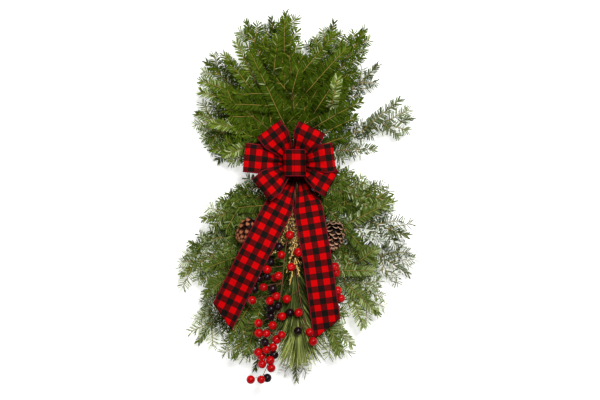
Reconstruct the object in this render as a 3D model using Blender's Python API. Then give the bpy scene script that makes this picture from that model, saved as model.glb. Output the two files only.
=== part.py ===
"""Winterberry swag, lying on its back with its front up: two fans of fir boughs bound
with wire at a narrow waist, a looped ribbon bow with two long tails, a tuft of long
pine needles, two cones, gilded sprigs and three sprays of berries.

Metres, +Z up, the top of the swag towards +Y. The numbers below are measured from the
middle of the photographed view; the last step moves the whole so that the middle of
its box's underside is the origin."""

import math
import random

import bmesh
import bpy
import numpy as np
from mathutils import Vector

# Waist: all stems pass through it side by side in a packed bundle.
WAIST = Vector((-0.008, 0.075, 0.0))
STEM_PITCH = 0.0076
BUNDLE_COLUMNS = 6
BUNDLE_ROWS = 4
LOWEST_ROW = 0.0088
CUT_PAST = 0.0125
LEAVE_AT = 0.016

# Fans: four layers of three boughs each, above and below the waist.
TIP_LIFT = 0.003
RISE_EARLY = 0.08
RISE_EARLIER = 0.18
STEM_START_PULL = 0.30
STEM_END_PULL = 0.42
FAN_CENTRE = {1: Vector((-0.007, 0.110)), -1: Vector((-0.007, 0.0))}

# Stems and needles. Stems are square in section, and CORNER is a corner's share of
# a half side. Whorls are the places where needles stand out all round.
CORNER = math.sqrt(2)
STEM_HALF = 0.00365
FIRST_HALF = 0.0017
STEM_TIP_HALF = 0.0009
TWIG_HALF = 0.0013
TWIG_TIP_HALF = 0.0008
NEEDLE_ROOT = 0.0032
WHORL_STEP = 0.0390
RING_STEP = 0.032
NEEDLE_LENGTH = 0.0215
TIP_NEEDLE = 0.009
BARE_LENGTH = 0.072
BARE_MORE = 0.020
BARE_GAPS = (1, 1, 0, 0)
TWIG_BARE = 0.012
JOINT = 0.0042
TWIG_PARTS = 20
TWIG_ANGLE = math.radians(43)
SHORTEST_TWIG = 0.024
NEEDLE_FORWARD = (74, 42)
NEEDLE_ROLL = 11
NEEDLE_RADIUS = 0.0008
CLEAR = 0.0011
FLOOR_CLEAR = 0.0015
FOOT_HALF = 0.010
FOOT_BLEND = 0.055

# Each row: layer, bundle column, tip across and up, tip height, longest side twig,
# and the distance along the stem of a flat heel that the swag rests on.
UPPER_BOUGHS = [
    (0, 0, (-0.226, 0.192), 0.017, 0.080, None),
    (0, 2, (-0.060, 0.403), 0.018, 0.070, 0.165),
    (0, 4, (0.178, 0.300), 0.018, 0.078, None),
    (1, 1, (-0.202, 0.305), 0.036, 0.078, None),
    (1, 3, (0.080, 0.394), 0.034, 0.072, None),
    (1, 5, (0.252, 0.182), 0.031, 0.074, None),
    (2, 0, (-0.184, 0.112), 0.047, 0.062, None),
    (2, 2, (-0.113, 0.390), 0.051, 0.070, None),
    (2, 4, (0.146, 0.374), 0.052, 0.072, None),
    (3, 1, (-0.168, 0.232), 0.068, 0.070, None),
    (3, 3, (-0.026, 0.408), 0.066, 0.072, None),
    (3, 5, (0.168, 0.112), 0.060, 0.060, None),
]
LOWER_BOUGHS = [
    (0, 1, (-0.222, -0.316), 0.017, 0.080, 0.190),
    (0, 3, (-0.004, -0.402), 0.019, 0.066, None),
    (0, 5, (0.246, -0.166), 0.018, 0.080, 0.165),
    (1, 0, (-0.258, -0.166), 0.033, 0.080, None),
    (1, 2, (-0.094, -0.374), 0.034, 0.070, None),
    (1, 4, (0.178, -0.254), 0.035, 0.078, None),
    (2, 1, (-0.196, -0.190), 0.048, 0.064, None),
    (2, 3, (-0.140, -0.346), 0.048, 0.076, None),
    (2, 5, (0.240, -0.078), 0.050, 0.072, None),
    (3, 0, (-0.206, -0.042), 0.062, 0.060, None),
    (3, 2, (0.086, -0.340), 0.058, 0.068, None),
    (3, 4, (0.202, 0.004), 0.058, 0.056, None),
]

# Ribbon: 63.5 mm wide, one length for the loops and one for the tails.
RIBBON_WIDTH = 0.0635
RIBBON_THICK = 0.0008
PINCH_WIDTH = 0.007
FULL_WIDTH_AT = 0.078
LOOP_STEPS = 9
LOOP_OPENING = 0.22
LOOP_FULLNESS = 0.62
TAIL_STEPS = 13
TAIL_PINCH = 0.016
TAIL_WIDENS_FROM = 0.022
TAIL_WIDENS_OVER = 0.085
NECK = Vector((-0.008, 0.081, 0.0530))
NECK_RADII = (0.0135, 0.0135, 0.0092)
NECK_HALF_GAP = 0.0022

# Each row: heading in degrees, reach from the neck, puff of the loop, rise in degrees.
LOOPS = [
    (127, 0.092, 0.034, 26),
    (63, 0.085, 0.034, 28),
    (174, 0.109, 0.032, 19),
    (8, 0.087, 0.034, 25),
    (220, 0.093, 0.032, 26),
    (-29, 0.093, 0.030, 21),
]
CENTRE_LOOP = (0.0255, 0.0195, 0.059)
CENTRE_SIDES = 14
CENTRE_SINK = 0.004
TAIL_FOLD = Vector((-0.008, 0.078, 0.0420))
TAIL_FOLD_SIZE = (0.0150, 0.0180, 0.0026)

# Tail centre lines from the fold to the end, and how much longer the inner edge is.
LEFT_TAIL = [
    (-0.010, 0.070, 0.0420), (-0.013, 0.040, 0.050), (-0.028, 0.010, 0.064),
    (-0.051, -0.033, 0.087), (-0.078, -0.085, 0.104), (-0.105, -0.137, 0.103),
    (-0.132, -0.190, 0.098), (-0.172, -0.270, 0.088),
]
RIGHT_TAIL = [
    (-0.006, 0.070, 0.0420), (0.007, 0.040, 0.050), (0.018, 0.005, 0.066),
    (0.027, -0.038, 0.087), (0.036, -0.083, 0.102), (0.045, -0.130, 0.105),
    (0.057, -0.208, 0.100), (0.071, -0.298, 0.089),
]
TAIL_SLANT = 0.036

# Cones: place, apex direction, length and width. Each has a wire of its own to a stem.
CONES = {
    "pine_cone_left": ((-0.112, -0.068, 0.075), (-0.45, -0.75, 0.22), 0.066, 0.050),
    "pine_cone_right": ((0.077, -0.081, 0.072), (-0.16, -0.90, 0.30), 0.074, 0.053),
}
CONE_ROWS = 7
CONE_SCALES = 6
CONE_WIRE = 0.0008
CONE_WIRE_GAP = 0.0004
CONE_WIRE_START = 0.0095
CONE_WIRE_LAID = 0.007

# Berries.
BERRY_RADIUS = 0.0081
BERRY_TOP = 0.092
PEDICEL = 0.0007
SPRAY_STEM = 0.0013

# Each spray: its stem's route, then each berry as across, up and black or not.
BERRY_SPRAYS = {
    "berry_spray_1": (
        [(-0.0175, 0.086, 0.0386), (-0.0175, 0.050, 0.0403), (-0.0165, 0.0, 0.055),
         (-0.020, -0.060, 0.079), (-0.029, -0.120, 0.086), (-0.034, -0.180, 0.086),
         (-0.044, -0.240, 0.086), (-0.056, -0.300, 0.083), (-0.064, -0.352, 0.080),
         (-0.078, -0.386, 0.082)],
        [(-0.037, -0.121, 0), (-0.068, -0.153, 0), (-0.043, -0.167, 0),
         (-0.076, -0.192, 0), (-0.101, -0.221, 0), (-0.062, -0.222, 0), (-0.035, -0.256, 0),
         (-0.087, -0.271, 0), (-0.086, -0.293, 0),
         (-0.070, -0.294, 0), (-0.036, -0.297, 0), (-0.047, -0.308, 0),
         (-0.070, -0.330, 0), (-0.088, -0.335, 0),
         (-0.061, -0.353, 0), (-0.079, -0.361, 0), (-0.059, -0.370, 0),
         (-0.104, -0.395, 0), (-0.081, -0.395, 0), (-0.060, -0.137, 1),
         (-0.086, -0.173, 1), (-0.096, -0.196, 1),
         (-0.056, -0.196, 1), (-0.044, -0.233, 1), (-0.060, -0.240, 1),
         (-0.073, -0.313, 1), (-0.053, -0.342, 1), (-0.068, -0.393, 1)],
    ),
    "berry_spray_2": (
        [(-0.0085, 0.086, 0.0386), (-0.0085, 0.050, 0.0403), (-0.006, 0.0, 0.055),
         (-0.004, -0.070, 0.079), (-0.004, -0.140, 0.084), (0.004, -0.210, 0.085),
         (0.014, -0.260, 0.085), (0.026, -0.298, 0.083)],
        [(-0.018, -0.077, 0), (0.001, -0.115, 0), (-0.015, -0.147, 0),
         (-0.025, -0.218, 0), (0.001, -0.248, 0), (0.026, -0.292, 0),
         (0.033, -0.311, 0), (-0.042, -0.103, 1), (-0.018, -0.248, 1), (0.0, -0.288, 1)],
    ),
    "berry_spray_3": (
        [(0.0010, 0.086, 0.0386), (0.0035, 0.050, 0.0403), (0.018, 0.0, 0.055),
         (0.034, -0.045, 0.066), (0.043, -0.090, 0.074), (0.052, -0.128, 0.078),
         (0.074, -0.165, 0.080), (0.088, -0.208, 0.080)],
        [(0.081, -0.147, 0), (0.084, -0.161, 0), (0.087, -0.200, 0),
         (0.095, -0.217, 0)],
    ),
}

# Gilded sprigs: stem, half thickness, rings of sprays, their length and spread.
GILT_SPRIGS = {
    "gilt_sprig_1": (
        [(-0.0130, 0.086, 0.0384), (-0.0130, 0.050, 0.0400), (-0.012, 0.0, 0.058),
         (-0.0110, -0.045, 0.080), (-0.0065, -0.075, 0.091), (-0.006, -0.100, 0.096)],
        0.0011, 12, 0.016, 42,
    ),
    "gilt_sprig_2": (
        [(-0.0270, 0.086, 0.0382), (-0.028, 0.050, 0.0390), (-0.031, 0.0, 0.056),
         (-0.040, -0.055, 0.075), (-0.052, -0.090, 0.084), (-0.055, -0.114, 0.087)],
        0.0011, 9, 0.014, 42,
    ),
    "gilt_sprig_3": (
        [(-0.0040, 0.086, 0.0384), (-0.004, 0.050, 0.0400), (-0.0005, 0.0, 0.058),
         (-0.001, -0.060, 0.088), (-0.006, -0.105, 0.1035), (-0.012, -0.150, 0.1035)],
        0.0011, 11, 0.015, 40,
    ),
}
PINE_NEEDLES = {"half": 0.0019, "rings": 15, "length": 0.082, "spread": 20}
TUFT_START = 0.42
TUFT_ROLL = 55
PINE_LINE = [
    (-0.0222, 0.086, 0.0392), (-0.0225, 0.050, 0.0399), (-0.022, 0.0, 0.049),
    (-0.016, -0.080, 0.067), (-0.006, -0.170, 0.075), (0.0, -0.255, 0.077),
]

# Binding wire: three turns round the bundle.
BIND_RADIUS = 0.0007
BIND_TURNS = 3
BIND_BEND = 0.0005
BIND_PITCH = 0.0032

# Colours, from the front of the real thing.
UPPER_GREEN = (0.105, 0.200, 0.035)
LOWER_GREEN = (0.075, 0.155, 0.045)
PINE_GREEN = (0.210, 0.300, 0.110)
RIBBON_RED = (0.420, 0.008, 0.015)
BERRY_RED = (0.680, 0.010, 0.018)
BERRY_BLACK = (0.016, 0.008, 0.012)
STEM_BROWN = (0.120, 0.045, 0.025)
CONE_BROWN = (0.115, 0.045, 0.020)
GILT = (0.560, 0.370, 0.110)
WIRE_GREY = (0.180, 0.200, 0.170)

RNG = random.Random(27)


def look(name, colour, roughness, metallic=0.0):
    """A plain Principled material."""
    made = bpy.data.materials.new(name)
    made.use_nodes = True
    shader = made.node_tree.nodes["Principled BSDF"]
    shader.inputs["Base Color"].default_value = (*colour, 1.0)
    shader.inputs["Roughness"].default_value = roughness
    shader.inputs["Metallic"].default_value = metallic
    return made


def object_from(name, bm, material, sharp=60):
    """Makes an object of a bmesh, with its faces outward and its round parts smooth."""
    bmesh.ops.recalc_face_normals(bm, faces=bm.faces)
    if bm.calc_volume(signed=True) < 0:
        bmesh.ops.reverse_faces(bm, faces=bm.faces)
    mesh = bpy.data.meshes.new(name)
    bm.to_mesh(mesh)
    bm.free()
    mesh.shade_smooth()
    mesh.set_sharp_from_angle(angle=math.radians(sharp))
    made = bpy.data.objects.new(name, mesh)
    made.data.materials.append(material)
    bpy.context.scene.collection.objects.link(made)
    return made


def fuse(name, pieces):
    """Joins a node's pieces into one body with one Boolean union."""
    base, others = pieces[0], bpy.data.collections.new(name + "_pieces")
    bpy.context.scene.collection.children.link(others)
    for piece in pieces[1:]:
        bpy.context.scene.collection.objects.unlink(piece)
        others.objects.link(piece)
    union = base.modifiers.new("union", "BOOLEAN")
    union.operation = "UNION"
    union.operand_type = "COLLECTION"
    union.collection = others
    union.solver = "MANIFOLD"
    union.material_mode = "TRANSFER"
    graph = bpy.context.evaluated_depsgraph_get()
    joined = bpy.data.meshes.new_from_object(base.evaluated_get(graph))
    base.modifiers.clear()
    base.data = joined
    keep_largest_shell(joined)
    for piece in pieces[1:]:
        bpy.data.objects.remove(piece, do_unlink=True)
    bpy.data.collections.remove(others)
    base.name = name
    return base


def keep_largest_shell(mesh):
    """Fills hollows that the union sealed and drops loose scraps."""
    bm = bmesh.new()
    bm.from_mesh(mesh)
    left, shells = set(bm.verts), []
    while left:
        shell, edge = set(), [left.pop()]
        while edge:
            vert = edge.pop()
            shell.add(vert)
            for link in vert.link_edges:
                other = link.other_vert(vert)
                if other in left:
                    left.discard(other)
                    edge.append(other)
        shells.append(shell)
    largest = max(shells, key=len)
    scraps = [vert for shell in shells if shell is not largest for vert in shell]
    bmesh.ops.delete(bm, geom=scraps, context="VERTS")
    bm.to_mesh(mesh)
    bm.free()


class Space:
    """What is placed so far, as rods with round ends, to keep new growth clear of it."""

    def __init__(self, room=16000):
        self.start = np.zeros((room, 3))
        self.way = np.zeros((room, 3))
        self.radius = np.zeros(room)
        self.owner = np.zeros(room, int)
        self.count = 0

    def add(self, start, end, radius, owner=-1):
        k = self.count
        self.start[k] = start
        self.way[k] = np.subtract(end, start)
        self.radius[k] = radius
        self.owner[k] = owner
        self.count += 1

    def gap(self, points, radius, skip=()):
        """The least gap between a rod through the points and all that is placed."""
        k = self.count
        points = np.asarray([tuple(p) for p in points])
        middle = points.mean(0)
        span = np.linalg.norm(points - middle, axis=1).max()
        start, way = self.start[:k], self.way[:k]
        reach = np.linalg.norm(way, axis=1) / 2 + self.radius[:k] + span + 0.01
        near = np.linalg.norm(start + way / 2 - middle, axis=1) < reach
        near &= ~np.isin(self.owner[:k], skip)
        if not near.any():
            return 1.0
        start, way = start[near], way[near]
        from_start = points[:, None] - start[None]
        along = (from_start * way).sum(2) / np.maximum((way * way).sum(1), 1e-12)
        along = along.clip(0, 1)
        away = np.linalg.norm(from_start - along[..., None] * way[None], axis=2)
        return float((away - self.radius[:k][near]).min() - radius)


def bezier(a, b, c, d, t):
    s = 1 - t
    return a * s**3 + b * 3 * s * s * t + c * 3 * s * t * t + d * t**3


def smooth(x):
    x = min(max(x, 0.0), 1.0)
    return x * x * (3 - 2 * x)


class Path:
    """A smooth line that can be read at any distance along it."""

    def __init__(self, points):
        self.points = [Vector(p) for p in points]
        steps = [(b - a).length for a, b in zip(self.points, self.points[1:])]
        self.marks = np.concatenate([[0.0], np.cumsum(steps)])
        self.length = float(self.marks[-1])

    def at(self, s):
        k = int(np.searchsorted(self.marks, s)) - 1
        k = min(max(k, 0), len(self.points) - 2)
        part = (s - self.marks[k]) / (self.marks[k + 1] - self.marks[k])
        return self.points[k].lerp(self.points[k + 1], part)

    def heading(self, s, reach=0.004):
        low, high = max(s - reach, 0.0), min(s + reach, self.length)
        return (self.at(high) - self.at(low)).normalized()


class Twig:
    """One stem or side twig: its line, its thickness and what grows where."""

    count = 0

    def __init__(self, path, half, tip_half, bare, needle_length):
        self.path, self.half, self.tip_half = path, half, tip_half
        self.first_half = min(half, FIRST_HALF)
        self.bare, self.needle_length = bare, needle_length
        self.twigs, self.foot = [], None
        self.number = Twig.count
        Twig.count += 1

    def half_at(self, s):
        if s < self.bare:
            return self.half + (self.first_half - self.half) * s / self.bare
        share = (s - self.bare) / (self.path.length - self.bare)
        return self.first_half + (self.tip_half - self.first_half) * share

    def claim(self, space):
        marks = np.linspace(0, self.path.length, max(3, int(self.path.length / 0.012)))
        spots = [self.path.at(s) for s in marks]
        for s, a, b in zip(marks, spots, spots[1:]):
            space.add(a, b, CORNER * self.half_at(s), self.number)


def cell(column, row):
    """The middle of a stem's place in the bundle."""
    across = (column - (BUNDLE_COLUMNS - 1) / 2) * STEM_PITCH
    return WAIST.x + across, LOWEST_ROW + row * STEM_PITCH


def main_stem(side, layer, column, tip, tip_height, foot):
    """A bough's own stem, from its cut end through the waist to its tip."""
    x, z = cell(column, layer)
    height = tip_height - TIP_LIFT
    start = Vector((x, WAIST.y - side * CUT_PAST, z))
    leave = Vector((x, WAIST.y + side * LEAVE_AT, z))
    end = Vector((*tip, tip_height))
    reach = (end - leave).length
    aim = (Vector(tip) - FAN_CENTRE[side]).normalized()
    early = RISE_EARLY + RISE_EARLIER * layer
    straight = STEM_START_PULL * reach * (0.25 + 0.75 * abs(aim.y))
    rise = Vector((0, side * straight, early * (height - z)))
    before = end - Vector((*aim, 0.0)) * STEM_END_PULL * reach
    before.z = height
    curve = [bezier(leave, leave + rise, before, end, k / 40) for k in range(41)]
    bare = BARE_LENGTH + BARE_MORE * (3 - layer)
    stem = Twig(Path([start, *curve]), STEM_HALF, STEM_TIP_HALF, bare, NEEDLE_LENGTH)
    stem.layer = layer
    if foot:
        press_foot(stem, foot)
    return stem


def press_foot(stem, foot):
    """Bends a stem down to a short level heel, whose flat underside is at height 0."""
    marks = np.linspace(0, stem.path.length, 160)
    spots = []
    for s in marks:
        spot = stem.path.at(s)
        away = max(abs(s - foot) - 1.6 * FOOT_HALF, 0.0) / FOOT_BLEND
        hold = 1 - smooth(away)
        spot.z += (stem.half_at(s) - spot.z) * hold
        spots.append(spot)
    stem.path = Path(spots)
    stem.foot = foot


def side_twig(stem, s, hand, longest, space):
    """A side twig to the left or right, as long as there is room for it."""
    along = (s - stem.bare) / (stem.path.length - stem.bare)
    length = longest * (1.0 - 0.62 * along) * RNG.uniform(0.88, 1.08)
    heading = stem.path.heading(s)
    side = heading.cross(Vector((0, 0, 1))).normalized() * hand
    angle = TWIG_ANGLE * RNG.uniform(0.88, 1.12)
    way = heading * math.cos(angle) + side * math.sin(angle)
    way.z += RNG.uniform(-0.05, 0.05)
    root = stem.path.at(s) + side * stem.half_at(s)
    for share in (1.0, 0.8, 0.62, 0.48):
        reach = length * share
        if reach < SHORTEST_TWIG:
            break
        spots = []
        for k in range(TWIG_PARTS + 1):
            t = k / TWIG_PARTS
            spot = root + way * reach * t
            spot += heading * 0.10 * reach * t * t
            spots.append(spot)
        lowest = min(spot.z for spot in spots)
        if lowest > 0.006 and space.gap(spots[4:], 0.004, [stem.number]) > 0:
            twig = Twig(Path(spots), TWIG_HALF, TWIG_TIP_HALF, TWIG_BARE, NEEDLE_LENGTH)
            twig.claim(space)
            return twig
    return None


def plan_stems(space):
    """The boughs' own stems, each with the length of its longest side twig."""
    boughs = {}
    for side, word, table in ((1, "upper", UPPER_BOUGHS), (-1, "lower", LOWER_BOUGHS)):
        for number, (layer, column, tip, height, longest, foot) in enumerate(table, 1):
            stem = main_stem(side, layer, column, tip, height, foot)
            stem.claim(space)
            boughs[f"{word}_bough_{number:02d}"] = (stem, longest)
    return boughs


def whorls(twig):
    """The distances along a twig at which its whorls of needles start."""
    room = twig.path.length - twig.bare - NEEDLE_ROOT - 0.004
    count = max(1, round(room / WHORL_STEP))
    return [twig.bare + room * k / count for k in range(count + 1)]


def add_side_twigs(stem, longest, space):
    """One side twig in every second gap between whorls, left and right in turn."""
    marks = whorls(stem)
    hand = RNG.choice((-1, 1))
    gaps = list(zip(marks, marks[1:]))
    for a, b in gaps[BARE_GAPS[stem.layer]:-1:2]:
        middle = (a + NEEDLE_ROOT + b) / 2
        if stem.foot and abs(middle - stem.foot) < FOOT_HALF + JOINT:
            continue
        twig = side_twig(stem, middle, hand, longest, space)
        hand = -hand
        if twig:
            stem.twigs.append((middle, -hand, twig))


def ring(bm, twig, s):
    """Four corners round a twig, in turn as seen from ahead."""
    heading = twig.path.heading(s)
    side = heading.cross(Vector((0, 0, 1))).normalized()
    up = side.cross(heading)
    middle, half = twig.path.at(s), twig.half_at(s)
    corners = ((-1, -1), (-1, 1), (1, 1), (1, -1))
    return [bm.verts.new(middle + (side * a + up * b) * half) for a, b in corners]


def span(bm, a, b):
    """The four faces between two rings: left, top, right and bottom."""
    return [bm.faces.new((a[k], a[(k + 1) % 4], b[(k + 1) % 4], b[k])) for k in range(4)]


def raise_pair(bm, face, twig, s, lean, space):
    """Draws a pair of needles out of a face, one leaning well forward of the other."""
    halves = bmesh.ops.triangulate(bm, faces=[face])["faces"]
    along = twig.path.heading(s)
    halves.sort(key=lambda half: half.calc_center_median().dot(along))
    for half, forward, roll in zip(halves, NEEDLE_FORWARD, (-1, 1)):
        raise_needle(bm, half, twig, s, lean + roll * NEEDLE_ROLL, forward, space)


def raise_needle(bm, face, twig, s, lean, forward, space):
    """Draws a face out to a needle's tip, bent clear of what is there."""
    heading = twig.path.heading(s)
    side = heading.cross(Vector((0, 0, 1))).normalized()
    up = side.cross(heading)
    root = face.calc_center_median()
    length = twig.needle_length * RNG.uniform(0.86, 1.08)
    forward = math.radians(forward + RNG.uniform(-7, 7))
    for turn, bend, share in (
        (0, 0, 1), (14, 0, 1), (-14, 0, 1), (0, -14, 1), (28, -8, 1), (-28, -8, 1),
        (0, -26, 0.9), (20, -20, 0.8), (-20, -20, 0.8),
    ):
        roll = math.radians(lean + turn)
        out = side * math.cos(roll) + up * math.sin(roll)
        angle = forward + math.radians(bend)
        tip = root + (heading * math.cos(angle) + out * math.sin(angle)) * length * share
        spots = [root.lerp(tip, k / 9) for k in range(2, 10)]
        if tip.z > FLOOR_CLEAR and space.gap(spots, NEEDLE_RADIUS, [twig.number]) > CLEAR:
            bmesh.ops.poke(bm, faces=[face])["verts"][0].co = tip
            space.add(spots[0], tip, NEEDLE_RADIUS)
            return


def grow(bm, twig, first, space):
    """Builds a twig ring by ring from its first ring, with needles in whorls."""
    marks = whorls(twig)
    stops = [("whorl", s, s + NEEDLE_ROOT) for s in marks]
    for s, hand, child in twig.twigs:
        stops.append((("right" if hand > 0 else "left", child), s - JOINT / 2, s + JOINT / 2))
    if twig.foot:
        stops = [t for t in stops if abs(t[1] - twig.foot) > FOOT_HALF + NEEDLE_ROOT]
        stops.append(("foot", twig.foot - FOOT_HALF, twig.foot + FOOT_HALF))
    last, needles, reached = first, [], 0.0
    for number, (kind, start, end) in enumerate(sorted(stops, key=lambda t: t[1])):
        between = int((start - reached) / RING_STEP)
        for k in range(between):
            extra = ring(bm, twig, reached + (start - reached) * (k + 1) / (between + 1))
            span(bm, last, extra)
            last = extra
        a, b = ring(bm, twig, start), ring(bm, twig, end)
        span(bm, last, a)
        faces = span(bm, a, b)
        if kind == "whorl":
            swing = 1 if number % 2 else -1
            leans = (180 - 24, 90 - 32 * swing, 24, -90 + 44 * swing)
            kept = zip(faces, leans) if twig.twigs else zip(faces[:3], leans)
            needles += [(face, start, lean) for face, lean in kept]
        elif kind != "foot":
            face = faces[2 if kind[0] == "right" else 0]
            corners = list(face.verts)
            bm.faces.remove(face)
            grow_child(bm, kind[1], corners, space)
        last, reached = b, end
    end = ring(bm, twig, twig.path.length)
    span(bm, last, end)
    cap = bm.faces.new(end)
    bmesh.ops.poke(bm, faces=[cap])["verts"][0].co = (
        twig.path.at(twig.path.length) + twig.path.heading(twig.path.length) * TIP_NEEDLE
    )
    for face, s, lean in needles:
        raise_pair(bm, face, twig, s, lean, space)


def grow_child(bm, twig, corners, space):
    """Starts a side twig from a face of its stem, matched corner by corner."""
    second = ring(bm, twig, 0.006)
    best = min(
        range(4),
        key=lambda k: sum((corners[(k + i) % 4].co - second[i].co).length for i in range(4)),
    )
    corners = [corners[(best + i) % 4] for i in range(4)]
    span(bm, corners, second)
    grow(bm, twig, second, space)


def build_boughs(boughs, space, greens):
    for name, (stem, _) in boughs.items():
        bm = bmesh.new()
        first = ring(bm, stem, 0.0)
        bm.faces.new(reversed(first))
        grow(bm, stem, first, space)
        object_from(name, bm, greens[name.split("_")[0]], 35)


def ribbon_sheet(name, rows, material):
    """A sheet through rows of points, thickened to the ribbon's thickness."""
    bm = bmesh.new()
    lines = [[bm.verts.new(p) for p in row] for row in rows]
    for low, high in zip(lines, lines[1:]):
        for k in range(len(low) - 1):
            bm.faces.new((low[k], low[k + 1], high[k + 1], high[k]))
    made = object_from(name, bm, material)
    thick = made.modifiers.new("thickness", "SOLIDIFY")
    thick.thickness = RIBBON_THICK
    thick.offset = 0.0
    return made


def loop_rows(heading, reach, puff, rise):
    """A teardrop loop: out from the neck behind, round, and back in front."""
    heading, rise = math.radians(heading), math.radians(rise)
    out = Vector((math.cos(heading), math.sin(heading), 0.0))
    aside = Vector((-out.y, out.x, 0.0))
    along = out * math.cos(rise) + Vector((0, 0, math.sin(rise)))
    front = -out * math.sin(rise) + Vector((0, 0, math.cos(rise)))
    rows = []
    for k in range(LOOP_STEPS + 1):
        turn = LOOP_OPENING + 2 * (math.pi - LOOP_OPENING) * k / LOOP_STEPS
        share = (1 - math.cos(turn)) / 2
        u = reach / math.cos(rise) * share
        v = LOOP_FULLNESS * puff * math.sin(turn) * share**0.6
        v += NECK_HALF_GAP * math.cos(turn / 2)
        half = 0.5 * (PINCH_WIDTH + (RIBBON_WIDTH - PINCH_WIDTH) * min(u / FULL_WIDTH_AT, 1.0))
        rows.append([NECK + along * u + front * v + aside * half * w for w in (-1, 1)])
    return rows


def ball(name, place, radii, material):
    bm = bmesh.new()
    bmesh.ops.create_uvsphere(bm, u_segments=8, v_segments=6, radius=1.0)
    bmesh.ops.scale(bm, vec=radii, verts=bm.verts)
    bmesh.ops.translate(bm, vec=place, verts=bm.verts)
    return object_from(name, bm, material)


def build_bow(ribbon):
    """Six loops and the small centre loop of one ribbon, pinched at the neck."""
    pieces = [ball("neck", NECK, NECK_RADII, ribbon)]
    for number, loop in enumerate(LOOPS):
        pieces.append(ribbon_sheet(f"loop_{number}", loop_rows(*loop), ribbon))
    half_across, half_deep, width = CENTRE_LOOP
    middle = NECK + Vector((0, 0, NECK_RADII[2] + half_deep - CENTRE_SINK))
    bm = bmesh.new()
    rings = []
    for y in (-width / 2, width / 2):
        for scale in (1.0, 1.0 - 2 * RIBBON_THICK / (half_across + half_deep)):
            rings.append([
                bm.verts.new(middle + Vector((
                    half_across * scale * math.cos(turn), y,
                    half_deep * scale * math.sin(turn),
                )))
                for turn in (2 * math.pi * k / CENTRE_SIDES for k in range(CENTRE_SIDES))
            ])
    for a, b in ((0, 1), (1, 3), (3, 2), (2, 0)):
        for k in range(CENTRE_SIDES):
            j = (k + 1) % CENTRE_SIDES
            bm.faces.new((rings[a][k], rings[a][j], rings[b][j], rings[b][k]))
    pieces.append(object_from("centre", bm, ribbon))
    fuse("bow_loops", pieces)


def tail_rows(points, inner):
    """A tail from the pinched fold, widening, to an end that is cut on a slant."""
    line = Path(catmull(points, 6))
    rows = []
    for k in range(TAIL_STEPS + 1):
        row = []
        for w in (-1, 0, 1):
            longer = TAIL_SLANT * (w * inner - 1) / 2
            s = (line.length + longer) * k / TAIL_STEPS
            heading = line.heading(s, 0.02)
            aside = heading.cross(Vector((0, 0, 1))).normalized()
            opened = smooth((s - TAIL_WIDENS_FROM) / TAIL_WIDENS_OVER)
            half = 0.5 * (TAIL_PINCH + (RIBBON_WIDTH - TAIL_PINCH) * opened)
            row.append(line.at(s) + aside * half * w)
        rows.append(row)
    return rows


def catmull(points, parts):
    """A smooth line through a few points."""
    p = [Vector(q) for q in points]
    p = [2 * p[0] - p[1], *p, 2 * p[-1] - p[-2]]
    line = []
    for a, b, c, d in zip(p, p[1:], p[2:], p[3:]):
        for k in range(parts):
            t = k / parts
            line.append(0.5 * (
                2 * b + (c - a) * t + (2 * a - 5 * b + 4 * c - d) * t * t
                + (3 * b - a - 3 * c + d) * t**3
            ))
    return [*line, p[-2]]


def build_tails(ribbon, space):
    """The second ribbon: folded at the neck, with a tail to either side."""
    bm = bmesh.new()
    bmesh.ops.create_cube(bm, size=1.0)
    bmesh.ops.scale(bm, vec=TAIL_FOLD_SIZE, verts=bm.verts)
    bmesh.ops.translate(bm, vec=TAIL_FOLD, verts=bm.verts)
    pieces = [object_from("fold", bm, ribbon)]
    for name, points, inner in (("left", LEFT_TAIL, -1), ("right", RIGHT_TAIL, 1)):
        rows = tail_rows(points, inner)
        pieces.append(ribbon_sheet(name, rows, ribbon))
        for low, high in zip(rows, rows[1:]):
            for share in (0.02, 0.22, 0.42, 0.62, 0.82, 0.98):
                a = low[0].lerp(low[-1], share)
                b = high[0].lerp(high[-1], share)
                space.add(a, b, 0.0045)
    fuse("bow_tails", pieces)


def claim_loops(space):
    for loop in LOOPS:
        rows = loop_rows(*loop)
        for low, high in zip(rows, rows[1:]):
            for share in (0.0, 0.2, 0.4, 0.6, 0.8, 1.0):
                a = low[0].lerp(low[-1], share)
                b = high[0].lerp(high[-1], share)
                space.add(a, b, 0.0045)


def build_cone(name, place, apex, length, width, material, space):
    """A cone: rows of scales in turn, each a ledge with a crevice under the next."""
    bm = bmesh.new()
    axis = Vector(apex).normalized()
    side = axis.cross(Vector((0, 0, 1))).normalized()
    up = side.cross(axis)
    place = Vector(place)
    columns = 2 * CONE_SCALES
    rings = []
    for row in range(CONE_ROWS):
        t = (row + 0.5) / CONE_ROWS
        radius = 0.5 * width * math.sin(math.pi * (0.16 + 0.80 * t)) ** 0.75
        for level, lift in (("crevice", 0.0), ("tip", 0.62)):
            corners = []
            for k in range(columns):
                turn = 2 * math.pi * k / columns
                out = (k + row) % 2 == 0
                if level == "tip":
                    r = radius * (1.0 if out else 0.80)
                    h = (t + lift / CONE_ROWS * (1.0 if out else 0.55) - 0.5) * length
                else:
                    r = radius * (0.62 if out else 0.70)
                    h = (t - 0.28 / CONE_ROWS - 0.5) * length
                around = side * math.cos(turn) + up * math.sin(turn)
                corners.append(bm.verts.new(place + axis * h + around * r))
            rings.append(corners)
    for a, b in zip(rings, rings[1:]):
        for k in range(columns):
            j = (k + 1) % columns
            bm.faces.new((a[k], a[j], b[j], b[k]))
    base = bm.faces.new(reversed(rings[0]))
    top = bm.faces.new(rings[-1])
    bmesh.ops.poke(bm, faces=[base])["verts"][0].co = place - axis * 0.49 * length
    bmesh.ops.poke(bm, faces=[top])["verts"][0].co = place + axis * 0.54 * length
    ends = place - axis * (length - width) / 2, place + axis * (length - width) / 2
    space.add(*ends, 0.5 * width)
    return object_from(name, bm, material, 30)


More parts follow.
